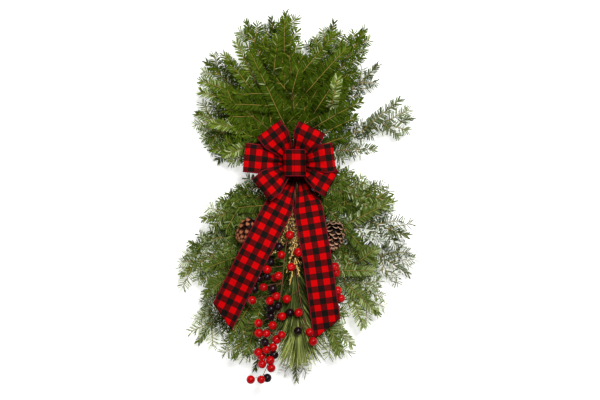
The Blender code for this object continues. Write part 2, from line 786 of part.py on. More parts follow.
def rod(name, points, radii, material, sides=3):
    """A thin stem with closed ends, through a few points."""
    bm = bmesh.new()
    line, last = Path(points), None
    for k, s in enumerate(line.marks):
        heading = line.heading(s)
        side = heading.cross(Vector((0, 0, 1))).normalized()
        up = side.cross(heading)
        radius = radii[0] + (radii[1] - radii[0]) * k / (len(line.marks) - 1)
        corners = []
        for n in range(sides):
            turn = 2 * math.pi * (n + 0.25) / sides
            around = side * math.cos(turn) + up * math.sin(turn)
            corners.append(bm.verts.new(line.points[k] + around * radius))
        if last:
            for n in range(sides):
                j = (n + 1) % sides
                bm.faces.new((last[n], last[j], corners[j], corners[n]))
        else:
            bm.faces.new(reversed(corners))
        last = corners
    bm.faces.new(last)
    return object_from(name, bm, material, 50)


def wire_cone(name, cone, stems, material, space):
    """Gives a cone the wire that holds it, laid along the nearest stem below."""
    place, apex, length, _ = CONES[name]
    base = Vector(place) - Vector(apex).normalized() * 0.40 * length
    nearest = min(
        ((stem.path.at(s) - base).length, number, s)
        for number, stem in enumerate(stems)
        for s in (mark + CONE_WIRE_START for mark in whorls(stem)[:-1])
    )
    stem, s = stems[nearest[1]], nearest[2]
    up = (base - stem.path.at(s)).normalized()
    spots = [base]
    for step in (0.0, CONE_WIRE_LAID / 2, CONE_WIRE_LAID):
        away = stem.half_at(s) * CORNER + CONE_WIRE + CONE_WIRE_GAP
        spots.append(stem.path.at(s + step) + up * away)
    pieces = [cone, rod(name + "_wire", spots, (CONE_WIRE, CONE_WIRE), material, 4)]
    for a, b in zip(spots, spots[1:]):
        space.add(a, b, CONE_WIRE)
    fuse(name, pieces)


def berry_heights(berries, space):
    """Sinks each berry until it clears the ribbon, the cones and the berries before it."""
    placed = []
    for across, up, black in berries:
        z = BERRY_TOP
        while any(
            (Vector((across, up, z)) - other).length < 2.12 * BERRY_RADIUS
            for other, _ in placed
        ) or space.gap([(across, up, z)], BERRY_RADIUS) < CLEAR:
            z -= 0.002
        placed.append((Vector((across, up, z)), black))
    return placed


def build_berries(looks, space):
    """Three sprays: a forked stem each, with every berry on its own pedicel."""
    every = [berry for spray in BERRY_SPRAYS.values() for berry in spray[1]]
    places = iter(berry_heights(every, space))
    for name, (route, berries) in BERRY_SPRAYS.items():
        line = Path(catmull(route, 3))
        pieces = [rod(name + "_stem", line.points, (SPRAY_STEM, PEDICEL), looks[2])]
        for a, b in zip(line.points, line.points[1:]):
            space.add(a, b, SPRAY_STEM)
        for number in range(len(berries)):
            place, black = next(places)
            bm = bmesh.new()
            bmesh.ops.create_icosphere(bm, subdivisions=1, radius=BERRY_RADIUS)
            bmesh.ops.translate(bm, vec=place, verts=bm.verts)
            berry = object_from(f"{name}_berry_{number}", bm, looks[1 if black else 0], 80)
            gaps = [(spot - place).length + 0.5 * abs(spot.y - place.y - 0.016)
                    for spot in line.points]
            root = line.points[gaps.index(min(gaps))]
            pedicel = rod(f"{name}_pedicel_{number}", [root, place], (PEDICEL, PEDICEL), looks[2])
            pieces += [berry, pedicel]
            space.add(place, place, BERRY_RADIUS, -2)
            space.add(root, place, PEDICEL, -2)
        fuse(name, pieces)


def build_tuft(name, line, half, rings, length, spread, material, space):
    """A short twig with long needles drawn out of its sides, fanning to its tip."""
    twig = Twig(Path(catmull(line, 4)), half, 0.6 * half, 0.0, length)
    twig.claim(space)
    bm = bmesh.new()
    first = ring(bm, twig, 0.0)
    bm.faces.new(reversed(first))
    start = twig.path.length * TUFT_START
    step = (twig.path.length - start - 0.004) / rings
    last, needles, bare_rings = first, [], int(start / RING_STEP)
    for number in range(1, bare_rings):
        extra = ring(bm, twig, start * number / bare_rings)
        span(bm, last, extra)
        last = extra
    for number in range(rings):
        s = start + step * number
        a, b = ring(bm, twig, s), ring(bm, twig, s + NEEDLE_ROOT)
        span(bm, last, a)
        faces = span(bm, a, b)
        needles += [(face, s, lean) for face, lean in zip(faces, (180, 90, 0, -90))]
        last = b
    end = ring(bm, twig, twig.path.length)
    span(bm, last, end)
    cap = bm.faces.new(end)
    bmesh.ops.poke(bm, faces=[cap])["verts"][0].co = (
        twig.path.at(twig.path.length) + twig.path.heading(twig.path.length) * length
    )
    for face, s, lean in needles:
        heading = twig.path.heading(s)
        side = heading.cross(Vector((0, 0, 1))).normalized()
        up = side.cross(heading)
        root = face.calc_center_median()
        for _ in range(14):
            roll = math.radians(lean + RNG.uniform(-TUFT_ROLL, TUFT_ROLL))
            angle = math.radians(RNG.uniform(0.25, 1.0) * spread)
            out = side * math.cos(roll) + up * math.sin(roll) * 0.45
            way = heading * math.cos(angle) + out * math.sin(angle)
            tip = root + way * length * RNG.uniform(0.82, 1.1)
            spots = [root.lerp(tip, k / 22) for k in range(2, 23)]
            if tip.z > FLOOR_CLEAR and space.gap(spots, NEEDLE_RADIUS, [twig.number]) > CLEAR:
                bmesh.ops.poke(bm, faces=[face])["verts"][0].co = tip
                space.add(spots[0], tip, NEEDLE_RADIUS)
                break
    object_from(name, bm, material, 35)


def wire(name, points, radius, material):
    """A wire as a curve with a round section and closed ends."""
    data = bpy.data.curves.new(name, "CURVE")
    data.dimensions = "3D"
    data.bevel_depth = radius
    data.bevel_resolution = 0
    data.use_fill_caps = True
    line = data.splines.new("POLY")
    line.points.add(len(points) - 1)
    for spot, point in zip(line.points, points):
        spot.co = (*point, 1.0)
    made = bpy.data.objects.new(name, data)
    data.materials.append(material)
    bpy.context.scene.collection.objects.link(made)


def build_binding(material):
    """Wire wound tight round the bundle of stems."""
    grown = STEM_HALF + BIND_RADIUS + 0.0003
    across = (BUNDLE_COLUMNS - 1) / 2 * STEM_PITCH + grown
    deep = (BUNDLE_ROWS - 1) / 2 * STEM_PITCH + grown
    middle_z = LOWEST_ROW + (BUNDLE_ROWS - 1) / 2 * STEM_PITCH
    corners = ((1, -1), (1, 1), (-1, 1), (-1, -1))
    bends = []
    for number, (x, z) in enumerate(corners):
        pair = [(x * across, z * (deep - BIND_BEND)), (x * (across - BIND_BEND), z * deep)]
        bends += pair if number % 2 else reversed(pair)
    points = []
    for k in range(BIND_TURNS * len(bends)):
        x, z = bends[k % len(bends)]
        y = BIND_PITCH * (k / len(bends) - BIND_TURNS / 2)
        points.append((WAIST.x + x, WAIST.y + y, middle_z + z))
    wire("binding_wire", points, BIND_RADIUS, material)


def stand_at_origin():
    """Puts the middle of the whole box's underside at the origin."""
    bpy.context.view_layer.update()
    made = list(bpy.data.objects)
    corners = [thing.matrix_world @ Vector(c) for thing in made for c in thing.bound_box]
    low = Vector(min(c[k] for c in corners) for k in range(3))
    high = Vector(max(c[k] for c in corners) for k in range(3))
    for thing in made:
        thing.location -= Vector(((low.x + high.x) / 2, (low.y + high.y) / 2, low.z))


for thing in list(bpy.data.objects):
    bpy.data.objects.remove(thing, do_unlink=True)

ribbon_look = look("ribbon", RIBBON_RED, 0.75)
cone_look = look("cone", CONE_BROWN, 0.70)
wire_look = look("wire", WIRE_GREY, 0.45, 0.8)
gilt_look = look("gilt", GILT, 0.42, 0.6)
berry_looks = (
    look("red_berry", BERRY_RED, 0.22),
    look("black_berry", BERRY_BLACK, 0.25),
    look("berry_stem", STEM_BROWN, 0.70),
)
greens = {
    "upper": look("upper_fir", UPPER_GREEN, 0.60),
    "lower": look("lower_fir", LOWER_GREEN, 0.60),
}

space = Space()
build_tails(ribbon_look, space)
claim_loops(space)
build_bow(ribbon_look)
cones = {
    name: build_cone(name, place, apex, length, width, cone_look, space)
    for name, (place, apex, length, width) in CONES.items()
}
build_berries(berry_looks, space)
boughs = plan_stems(space)
stems = [stem for stem, _ in boughs.values()]
for name, cone in cones.items():
    wire_cone(name, cone, stems, wire_look, space)
for stem, longest in boughs.values():
    add_side_twigs(stem, longest, space)
for name, (line, half, rings, length, spread) in GILT_SPRIGS.items():
    build_tuft(name, line, half, rings, length, spread, gilt_look, space)
pine_look = look("pine", PINE_GREEN, 0.55)
build_tuft("pine_tuft", PINE_LINE, **PINE_NEEDLES, material=pine_look, space=space)
build_boughs(boughs, space, greens)
build_binding(wire_look)
stand_at_origin()
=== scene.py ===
import math

import bpy
import numpy as np
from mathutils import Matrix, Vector


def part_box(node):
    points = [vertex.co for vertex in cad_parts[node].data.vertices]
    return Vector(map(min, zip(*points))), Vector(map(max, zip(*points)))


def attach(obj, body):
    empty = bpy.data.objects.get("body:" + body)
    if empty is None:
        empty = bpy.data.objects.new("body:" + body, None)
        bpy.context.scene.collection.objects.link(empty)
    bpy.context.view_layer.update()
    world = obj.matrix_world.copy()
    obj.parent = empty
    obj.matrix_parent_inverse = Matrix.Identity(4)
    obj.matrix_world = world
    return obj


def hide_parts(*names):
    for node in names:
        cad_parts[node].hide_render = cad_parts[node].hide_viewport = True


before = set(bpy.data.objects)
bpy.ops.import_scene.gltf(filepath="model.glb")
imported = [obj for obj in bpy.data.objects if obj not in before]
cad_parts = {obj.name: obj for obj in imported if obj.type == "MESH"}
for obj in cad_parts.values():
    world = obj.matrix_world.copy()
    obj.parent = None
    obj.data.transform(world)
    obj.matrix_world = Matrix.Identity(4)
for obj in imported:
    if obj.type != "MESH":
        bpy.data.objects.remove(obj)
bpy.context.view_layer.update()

# Fir boughs: fresh-cut fir laid in two fans, the cut ends side by side at a narrow waist.
# Each is a woody stem with paired side shoots. Flat needles stand out left and right of
# every shoot like a comb, green above and with two silvery bands below.
wire_low, wire_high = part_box("binding_wire")
# from the measures below to where the swag lies in the frame
MOVED = (Vector(wire_low) + Vector(wire_high)) / 2 - Vector((-0.008, 0.0748, 0.0202))
WAIST = Vector((-0.008, 0.075, 0.0))
STEM_PITCH = 0.0076
MIDDLE_COLUMN = 2.5
LOWEST_STEM = 0.0088
TOP_LAYER = 3
CUT_PAST = 0.0125
LEAVE_AT = 0.016
FAN_CENTRE = {1: Vector((-0.007, 0.11)), -1: Vector((-0.007, 0.0))}
TIP_LIFT = 0.003
HEEL_HEIGHT = 0.003
HEEL_HALF = 0.016
HEEL_FADE = 0.055
STEM_RADIUS = 0.0036
NEEDLED_RADIUS = 0.0017
STEM_TIP_RADIUS = 0.0009
SHOOT_RADIUS = 0.0012
LONG_SHOOT_RADIUS = 0.001
SHOOT_TIP_RADIUS = 0.0006
SHOOT_ANGLE = (34, 46)
SHOOT_APART = (0.025, 0.032)
FORKS_FROM = 0.05
BARE_STEM = 0.06
BARE_PER_LAYER = 0.012
NEEDLE_LENGTH = 0.0166
NEEDLE_WIDTH = 0.0019
NEEDLE_DEPTH = 0.0007
NEEDLES_PER_METRE = 1040
# cuts through a needle: share of its length, share of its width
PLAIN_NEEDLE = ((0.0, 0.55), (0.62, 1.0))
FULL_NEEDLE = ((0.0, 0.5), (0.35, 1.0), (0.9, 0.85))
# the lowest that a needle's tip may hang, and how far to the side a shoot may reach
LOWEST = 0.002
WIDEST = 0.258
# for the upper and the lower fan: how far the shoots shorten towards the tip, how much
# their shades differ, how sparsely the outer ones are needled
FANS = {1: (0.86, 1.0, 0.1), -1: (0.72, 1.8, 0.7)}
# the last of these where an upper bough lies mostly with its undersides up
SPARSE_TURNED = 0.5
# a bough whose tip lies this many millimetres to the right shows silvery needles, and so
# does one that is very pale
SILVERY_FROM = {1: 160, -1: 230}
SILVERY_PALE = 0.5

# Places and lengths in all the tables are in millimetres: across, up, out of the front.
# layer, place in the bundle, tip, tip height, longest side shoot, how far along the stem
# its heel is (0 for none), share of shoots with undersides up, paleness
UPPER_BOUGHS = [
    (0, 0, (-226, 192), 17, 80, 0, 0.6, 0.4),
    (0, 2, (-60, 403), 18, 70, 165, 0.1, -0.25),
    (0, 4, (178, 300), 18, 56, 0, 0.6, 0.1),
    (1, 1, (-202, 305), 36, 78, 0, 0.2, 0.1),
    (1, 3, (80, 394), 34, 72, 0, 0.1, -0.1),
    (1, 5, (252, 182), 31, 36, 0, 0.7, 0.2),
    (2, 0, (-184, 112), 47, 48, 0, 0.6, 0.36),
    (2, 2, (-113, 390), 51, 70, 0, 0.1, 0.15),
    (2, 4, (146, 374), 52, 72, 0, 0.1, 0.05),
    (3, 1, (-168, 232), 68, 70, 0, 0.1, 0.05),
    (3, 3, (-26, 408), 66, 72, 0, 0.0, 0.1),
    (3, 5, (168, 112), 60, 28, 0, 0.7, 0.3),
]
LOWER_BOUGHS = [
    (0, 1, (-222, -316), 17, 80, 190, 0.4, 0.2),
    (0, 3, (-4, -402), 19, 66, 0, 0.9, 0.7),
    (0, 5, (246, -166), 18, 80, 165, 0.8, 0.4),
    (1, 0, (-258, -166), 33, 80, 0, 0.3, 0.15),
    (1, 2, (-94, -374), 34, 70, 0, 0.2, -0.1),
    (1, 4, (178, -254), 35, 78, 0, 0.5, 0.25),
    (2, 1, (-196, -190), 48, 64, 0, 0.1, -0.05),
    (2, 3, (-140, -346), 48, 76, 0, 0.1, -0.05),
    (2, 5, (240, -78), 50, 72, 0, 0.7, 0.25),
    (3, 0, (-206, -42), 62, 60, 0, 0.2, 0.0),
    (3, 2, (86, -340), 58, 68, 0, 0.1, 0.1),
    (3, 4, (202, 4), 58, 56, 0, 0.3, 0.0),
]
# Long single shoots that lie on top, by side and bough: where each comes out, its tip,
# height, how pale it is
LONG_SHOOTS = {
    (1, 10): [
        ((-43, 192), (-103, 320), 88, 0.05), ((-63, 232), (-132, 229), 84, -0.05),
        ((-60, 205), (-158, 209), 80, 0.0),
    ],
    (1, 8): [((-103, 243), (-161, 316), 78, 0.1), ((-96, 264), (-134, 344), 70, 0.3)],
    (1, 11): [
        ((-12, 236), (1, 283), 92, -0.05), ((-52, 287), (-44, 352), 86, 0.05),
        ((-30, 330), (-30, 392), 80, 0.1),
    ],
    (1, 9): [
        ((10, 279), (83, 363), 86, 0.1), ((32, 250), (105, 330), 84, 0.05),
        ((45, 205), (90, 270), 88, 0.0), ((54, 170), (138, 214), 78, 0.05),
        ((75, 214), (85, 262), 94, 0.45), ((46, 140), (126, 180), 72, -0.05),
        ((56, 122), (112, 140), 68, -0.1),
    ],
    (1, 7): [((-100, 152), (-190, 168), 60, 0.3), ((-90, 124), (-160, 100), 54, 0.3)],
    (1, 4): [((-150, 238), (-212, 262), 52, 0.3), ((-142, 214), (-214, 238), 50, 0.2)],
    (1, 6): [
        ((150, 160), (226, 222), 38, 0.15), ((178, 176), (222, 142), 36, 0.15),
        ((196, 174), (245, 199), 40, 0.45), ((200, 166), (243, 152), 39, 0.45),
    ],
    (-1, 12): [((68, -22), (171, -139), 66, -0.05), ((105, -54), (207, -3), 72, 0.1)],
    (-1, 6): [
        ((134, -134), (171, -106), 76, 0.0), ((112, -190), (165, -240), 56, 0.1),
        ((86, -155), (164, -155), 70, 0.05), ((118, -210), (142, -278), 52, 0.2),
    ],
    (-1, 10): [((-77, -12), (-136, -18), 74, -0.1)],
    (-1, 7): [((-120, -120), (-202, -150), 62, -0.05), ((-128, -152), (-205, -208), 60, 0.0)],
    (-1, 8): [((-110, -238), (-150, -305), 58, 0.0), ((-86, -248), (-112, -335), 58, 0.05)],
    (-1, 5): [((-56, -252), (-70, -345), 50, 0.05)],
    (-1, 11): [((56, -250), (92, -332), 62, 0.1), ((74, -270), (118, -318), 56, 0.2)],
}


def mm(sizes):
    """Millimetres as metres."""
    return np.array(sizes) / 1000


def marks_along(spots):
    return np.append(0.0, np.cumsum(np.linalg.norm(np.diff(spots, axis=0), axis=1)))


class Line:
    """A smooth line that can be read at any distance along it."""

    def __init__(self, points):
        self.points = np.asarray([tuple(p) for p in points], float)
        self.marks = marks_along(self.points)
        self.length = float(self.marks[-1])

    def at(self, s):
        return np.stack([np.interp(s, self.marks, self.points[:, k]) for k in range(3)], -1)

    def heading(self, s, reach=0.004):
        way = self.at(np.minimum(s + reach, self.length)) - self.at(np.maximum(s - reach, 0.0))
        return unit(way)


def shown(name, data):
    made = bpy.data.objects.new(name, data)
    bpy.context.scene.collection.objects.link(made)
    return made


def through(points, parts):
    """A smooth line through a few points."""
    p = [Vector(q) for q in points]
    p = [2 * p[0] - p[1], *p, 2 * p[-1] - p[-2]]
    line = []
    for a, b, c, d in zip(p, p[1:], p[2:], p[3:]):
        for k in range(parts):
            t = k / parts
            line.append(0.5 * (
                2 * b + (c - a) * t + (2 * a - 5 * b + 4 * c - d) * t * t
                + (3 * b - a - 3 * c + d) * t**3
            ))
    return [*line, p[-2]]


def unit(v):
    return v / np.maximum(np.linalg.norm(v, axis=-1, keepdims=True), 1e-9)


def smooth(x):
    x = np.clip(x, 0.0, 1.0)
    return x * x * (3 - 2 * x)


def axes_along(way):
    """Side and up directions, square to the given ones."""
    side = unit(np.cross(way, (0.0, 0.0, 1.0)))
    return side, np.cross(side, way)


def square_to(ways, up):
    return unit(up - ways * (up * ways).sum(1, keepdims=True))


def round_turn(sides):
    return np.arange(sides) * math.tau / sides


def stem_line(side, layer, column, tip, tip_height, heel):
    """A bough's stem: straight through the bundle, then fanning out and up to its tip."""
    tip, tip_height, heel = mm(tip), mm(tip_height), mm(heel)
    x = WAIST.x + (column - MIDDLE_COLUMN) * STEM_PITCH
    z = LOWEST_STEM + layer * STEM_PITCH
    height = tip_height - TIP_LIFT
    start = Vector((x, WAIST.y - side * CUT_PAST, z))
    leave = Vector((x, WAIST.y + side * LEAVE_AT, z))
    end = Vector((*tip, tip_height))
    reach = (end - leave).length
    aim = (Vector(tip) - FAN_CENTRE[side]).normalized()
    straight = 0.3 * reach * (0.25 + 0.75 * abs(aim.y))
    rise = Vector((0, side * straight, (0.08 + 0.18 * layer) * (height - z)))
    before = end - Vector((*aim, 0.0)) * 0.42 * reach
    before.z = height
    t = np.linspace(0, 1, 41)[:, None]
    a, b, c, d = (np.array(p) for p in (leave, leave + rise, before, end))
    curve = a * (1 - t) ** 3 + b * 3 * (1 - t) ** 2 * t + c * 3 * (1 - t) * t * t + d * t**3
    line = Line([tuple(start), *curve])
    if heel:
        marks = np.linspace(0, line.length, 160)
        spots = line.at(marks)
        hold = 1 - smooth(np.maximum(abs(marks - heel) - HEEL_HALF, 0.0) / HEEL_FADE)
        spots[:, 2] += (HEEL_HEIGHT - spots[:, 2]) * hold
        line = Line(spots)
    return line


class Growth:
    """Points, triangles, finishes and grain of one piece, gathered up. The grain is two
    numbers for each point, which the finishes read."""

    def __init__(self):
        self.points, self.faces, self.slots, self.grain = [], [], [], []
        self.count = 0

    def add(self, points, faces, slots, grain):
        points, faces = points.reshape(-1, 3), faces.reshape(-1, 3)
        self.points.append(points)
        self.faces.append(faces + self.count)
        self.slots.append(np.broadcast_to(slots, len(faces)))
        self.grain.append(grain.reshape(-1, 2)[faces])
        self.count += len(points)

    def piece(self, name, finishes, smooth_slots=()):
        points = np.concatenate(self.points) + np.array(MOVED)
        faces, slots = np.concatenate(self.faces), np.concatenate(self.slots)
        mesh = bpy.data.meshes.new(name)
        mesh.vertices.add(len(points))
        mesh.vertices.foreach_set("co", points.ravel())
        mesh.loops.add(3 * len(faces))
        mesh.loops.foreach_set("vertex_index", faces.ravel().astype(np.int32))
        mesh.polygons.add(len(faces))
        mesh.polygons.foreach_set("loop_start", np.arange(len(faces), dtype=np.int32) * 3)
        mesh.polygons.foreach_set("material_index", slots.astype(np.int32))
        mesh.polygons.foreach_set("use_smooth", np.isin(slots, smooth_slots))
        mesh.update(calc_edges=True)
        layer = mesh.uv_layers.new(name="grain")
        layer.uv.foreach_set("vector", np.concatenate(self.grain).ravel())
        for finish in finishes:
            mesh.materials.append(finish)
        return shown(name, mesh)


def wrapped(rings, sides):
    """Triangles round a row of rings of points, then to an end point for the first ring
    and one for the last, which come after all the rings."""
    n = np.arange(sides)
    m = (n + 1) % sides
    last = (rings - 1) * sides
    ring = np.arange(0, last, sides)[:, None]
    end = np.full(sides, rings * sides)
    corners = (
        (ring + n, ring + m, ring + sides + m), (ring + n, ring + sides + m, ring + sides + n),
        (end, m, n), (end + 1, last + n, last + m),
    )
    return np.concatenate([np.stack(three, -1).reshape(-1, 3) for three in corners])


def tube(growth, spots, radii, slot, sides, shade=0.5):
    """A round stem with closed ends. Its grain runs along it, with an even shade. radii
    are one for each spot, or the first and the last one."""
    line = Line(spots)
    if len(radii) == 2:
        radii = np.linspace(*radii, len(line.points))
    side, up = axes_along(line.heading(line.marks))
    turn = round_turn(sides)
    around = side[:, None] * np.cos(turn)[:, None] + up[:, None] * np.sin(turn)[:, None]
    rings = line.points[:, None] + around * np.asarray(radii)[:, None, None]
    points = np.concatenate([rings.reshape(-1, 3), line.points[[0, -1]]])
    grain = np.full((len(points), 2), shade)
    grain[:, 0] = 20 * np.append(np.repeat(line.marks, sides), (0.0, line.length))
    growth.add(points, wrapped(len(rings), sides), slot, grain)


def needles(growth, roots, ways, tops, lengths, widths, depths, bends, shades, cuts, slots):
    """Many needles at once: a three-sided blade through each cut, ending in a point. Its
    grain is the share of its length, and its shade; slots are top face, underside."""
    count, rows = len(roots), len(cuts)
    widths, depths, bends = (np.broadcast_to(v, count) for v in (widths, depths, bends))
    room = (LOWEST - roots[:, 2]) / lengths
    level = np.maximum(ways[:, 2], room)
    across = np.maximum(np.hypot(ways[:, 0], ways[:, 1]), 1e-6)
    flat = np.sqrt(np.clip(1 - level**2, 0, 1)) / across
    ways = np.stack([ways[:, 0] * flat, ways[:, 1] * flat, level], -1)
    aside = unit(np.cross(ways, tops))
    tops = np.cross(aside, ways)
    points = np.zeros((count, 3 * rows + 1, 3))
    grain = np.ones((count, 3 * rows + 1, 2))
    grain[..., 1] = shades[:, None]
    for row, (along, wide) in enumerate(cuts):
        middle = roots + ways * (lengths * along)[:, None]
        middle = middle + tops * (bends * lengths * along**2)[:, None]
        half = aside * (0.5 * widths * wide)[:, None]
        points[:, 3 * row] = middle - half
        points[:, 3 * row + 1] = middle + half
        points[:, 3 * row + 2] = middle - tops * (depths * wide)[:, None]
        grain[:, 3 * row:3 * row + 3, 0] = along
    points[:, -1] = roots + ways * lengths[:, None] + tops * (bends * lengths)[:, None]
    faces, finish = [(0, 1, 2)], [slots[1]]
    for low in range(0, 3 * rows, 3):
        for a, b, kind in ((1, 0, 0), (0, 2, 1), (2, 1, 1)):
            high = low + 3
            if high == 3 * rows:
                made = [(low + a, low + b, high)]
            else:
                made = [(low + a, low + b, high + b), (low + a, high + b, high + a)]
            faces += made
            finish += [slots[kind]] * len(made)
    faces = np.array(faces)[None] + (np.arange(count) * (3 * rows + 1))[:, None, None]
    growth.add(points, faces, np.tile(finish, count), grain)


def comb(growth, line, start, turned, shade, draw, thin=0.0, cuts=FULL_NEEDLE):
    """Sets the needles of one shoot in two ranks left and right, some over and below it.
    turned is the share with the underside up; a thin shoot has fewer, narrower needles."""
    needled = line.length - start
    count = int(needled * NEEDLES_PER_METRE * (1 - 0.58 * thin))
    s = start + needled * (np.arange(count) + 0.5 * draw.random(count)) / count
    share = (s - start) / needled
    way = line.heading(s)
    side, up = axes_along(way)
    hand = np.where(np.arange(count) % 2, 1.0, -1.0)
    kind = draw.random(count)
    over = np.where(draw.random(count) < turned, -1.0, 1.0)
    rank = np.where(np.arange(count) // 2 % 2, 1.0, -1.0)
    lift = draw.normal(10, 6, count) + 9 * rank
    lift = np.where(kind < 0.12, draw.uniform(-50, -18, count), lift)
    lift = np.where(kind > 0.92, draw.uniform(42, 80, count), lift) * over
    forward = np.radians(draw.normal(67, 5.0, count) - 38 * share**5)
    forward = np.where(abs(lift) > 40, forward * 0.66, forward)
    lift = np.radians(lift)
    out = side * (hand * np.cos(lift))[:, None] + up * np.sin(lift)[:, None]
    ways = unit(way * np.cos(forward)[:, None] + out * np.sin(forward)[:, None])
    tops = square_to(ways, up * over[:, None] + side * draw.normal(0, 0.22, count)[:, None])
    size = NEEDLE_LENGTH * draw.uniform(0.86, 1.08, count) * (1 + 0.32 * thin)
    size *= 1 - 0.18 * smooth((share - 0.88) / 0.12) - 0.25 * smooth((0.1 - share) / 0.1)
    # painted light and shade: the upper rank of needles is painted lighter and the lower rank
    # darker; the far end of the shoot is paler
    needles(
        growth, line.at(s), ways, tops, size, NEEDLE_WIDTH * (1.12 - 0.12 * thin),
        NEEDLE_DEPTH, draw.normal(0.05, 0.05, count) * over,
        np.clip(shade + draw.normal(0, 0.1, count) + 0.12 * rank + 0.2 * share**3, 0, 1),
        cuts, (0, 1),
    )


def shoot_line(stem, s, hand, length, draw):
    """A side shoot: out at about 45 degrees, then bending towards its stem's heading."""
    way = stem.heading(s)
    side, _ = axes_along(way)
    angle = math.radians(draw.uniform(*SHOOT_ANGLE))
    out = way * math.cos(angle) + side * hand * math.sin(angle)
    out[2] += draw.uniform(-0.1, 0.06)
    t = np.linspace(0, 1, 9)[:, None]
    spots = stem.at(s) + out * length * t + way * 0.12 * length * t * t
    spots[:, 0] = np.clip(spots[:, 0], -WIDEST, WIDEST)
    spots[:, 2] = np.maximum(spots[:, 2], 0.0035)
    return Line(spots)


def long_shoot(stem, out, tip, height):
    """Leaves the bough's stem near its base, comes up between the others and lies out."""
    spots = mm([(*out, height - 6), (*tip, height)])
    s = stem.marks[np.argmin(np.linalg.norm(stem.points[:, :2] - spots[0, :2], axis=1))]
    root = stem.at(max(s - 0.02, 0.02))
    middle = (spots[0] + spots[1]) / 2 + (0.0, 0.001, 0.004)
    before = spots[0] - (spots[1] - spots[0]) * 0.25 - (0.0, 0.0, 0.026)
    before[2] = max(before[2], 0.004)
    return Line(through([(root + before) / 2, before, spots[0], middle, spots[1]], 6))


def bough(side, number, row, draw):
    """One bough as one piece: its stem, paired side shoots and all their needles."""
    layer, column, tip, height, longest, heel, turned_share, pale = row
    stem = stem_line(side, layer, column, tip, height, heel)
    buried = TOP_LAYER - layer
    bare = BARE_STEM + BARE_PER_LAYER * buried
    growth = Growth()
    marks = np.linspace(0, stem.length, 36)
    girths = (STEM_RADIUS, NEEDLED_RADIUS, STEM_TIP_RADIUS)
    radii = np.interp(marks, (0, bare, stem.length), girths)
    tube(growth, stem.at(marks), radii, 2, 7, 0.3)
    shade = 0.5 + 0.5 * pale
    # painted shade: the lower a bough's layer, the darker its needles, most of all near its base,
    # for the shade of the boughs above
    deep = 0.09 * buried
    taper, mixed, sparse = FANS[side]
    if side > 0 and turned_share > 0.5:
        sparse = SPARSE_TURNED
    cuts = FULL_NEEDLE if layer > 1 else PLAIN_NEEDLE
    # the stem's own needles take half of the painted depth shade
    comb(growth, stem, bare, 0.4 * turned_share, shade - 0.5 * deep, draw, 0.0, cuts)
    for out, end, high, tone in LONG_SHOOTS.get((side, number), ()):
        shoot = long_shoot(stem, out, end, high)
        tube(growth, shoot.points, (LONG_SHOOT_RADIUS, SHOOT_TIP_RADIUS), 2, 6, 0.65)
        comb(growth, shoot, 0.02, max(tone, 0.0), shade + tone, draw)
    s = bare + 0.008 + 0.01 * draw.random()
    while s < stem.length - 0.026:
        along = (s - bare) / (stem.length - bare)
        for hand in (-1, 1):
            length = mm(longest) * (1.18 - taper * along) * draw.uniform(0.82, 1.12)
            shoot = shoot_line(stem, s + draw.uniform(-0.004, 0.004), hand, length, draw)
            radii = np.linspace(SHOOT_RADIUS, SHOOT_TIP_RADIUS, 9)
            tube(growth, shoot.points, radii, 2, 5, 0.6)
            turned = 0.6 if draw.random() < turned_share * (0.5 + along) else 0.02
            # each shoot's shade: random differences, paler towards the tip, darker by the painted
            # depth shade
            tone = shade + mixed * draw.uniform(-0.14, 0.1) + (0.24 + deep) * along**2 - deep
            thin = sparse * smooth((along - 0.45) / 0.5)
            comb(growth, shoot, 0.007, turned, tone, draw, thin, cuts)
            if length > FORKS_FROM:
                for at, other in ((0.38, 1), (0.56, -1)):
                    twig = shoot_line(shoot, at * shoot.length, other, 0.45 * length, draw)
                    tube(growth, twig.points, 0.8 * radii, 2, 5, 0.6)
                    comb(growth, twig, 0.005, turned, tone, draw, thin, cuts)
        s += draw.uniform(*SHOOT_APART)
    return growth


WHITE = (1000, 1000, 1000)


def rgb(colour):
    """A colour as the shaders take it: the scene gives red, green, blue in thousandths."""
    return (*(np.array(colour) / 1000), 1.0)


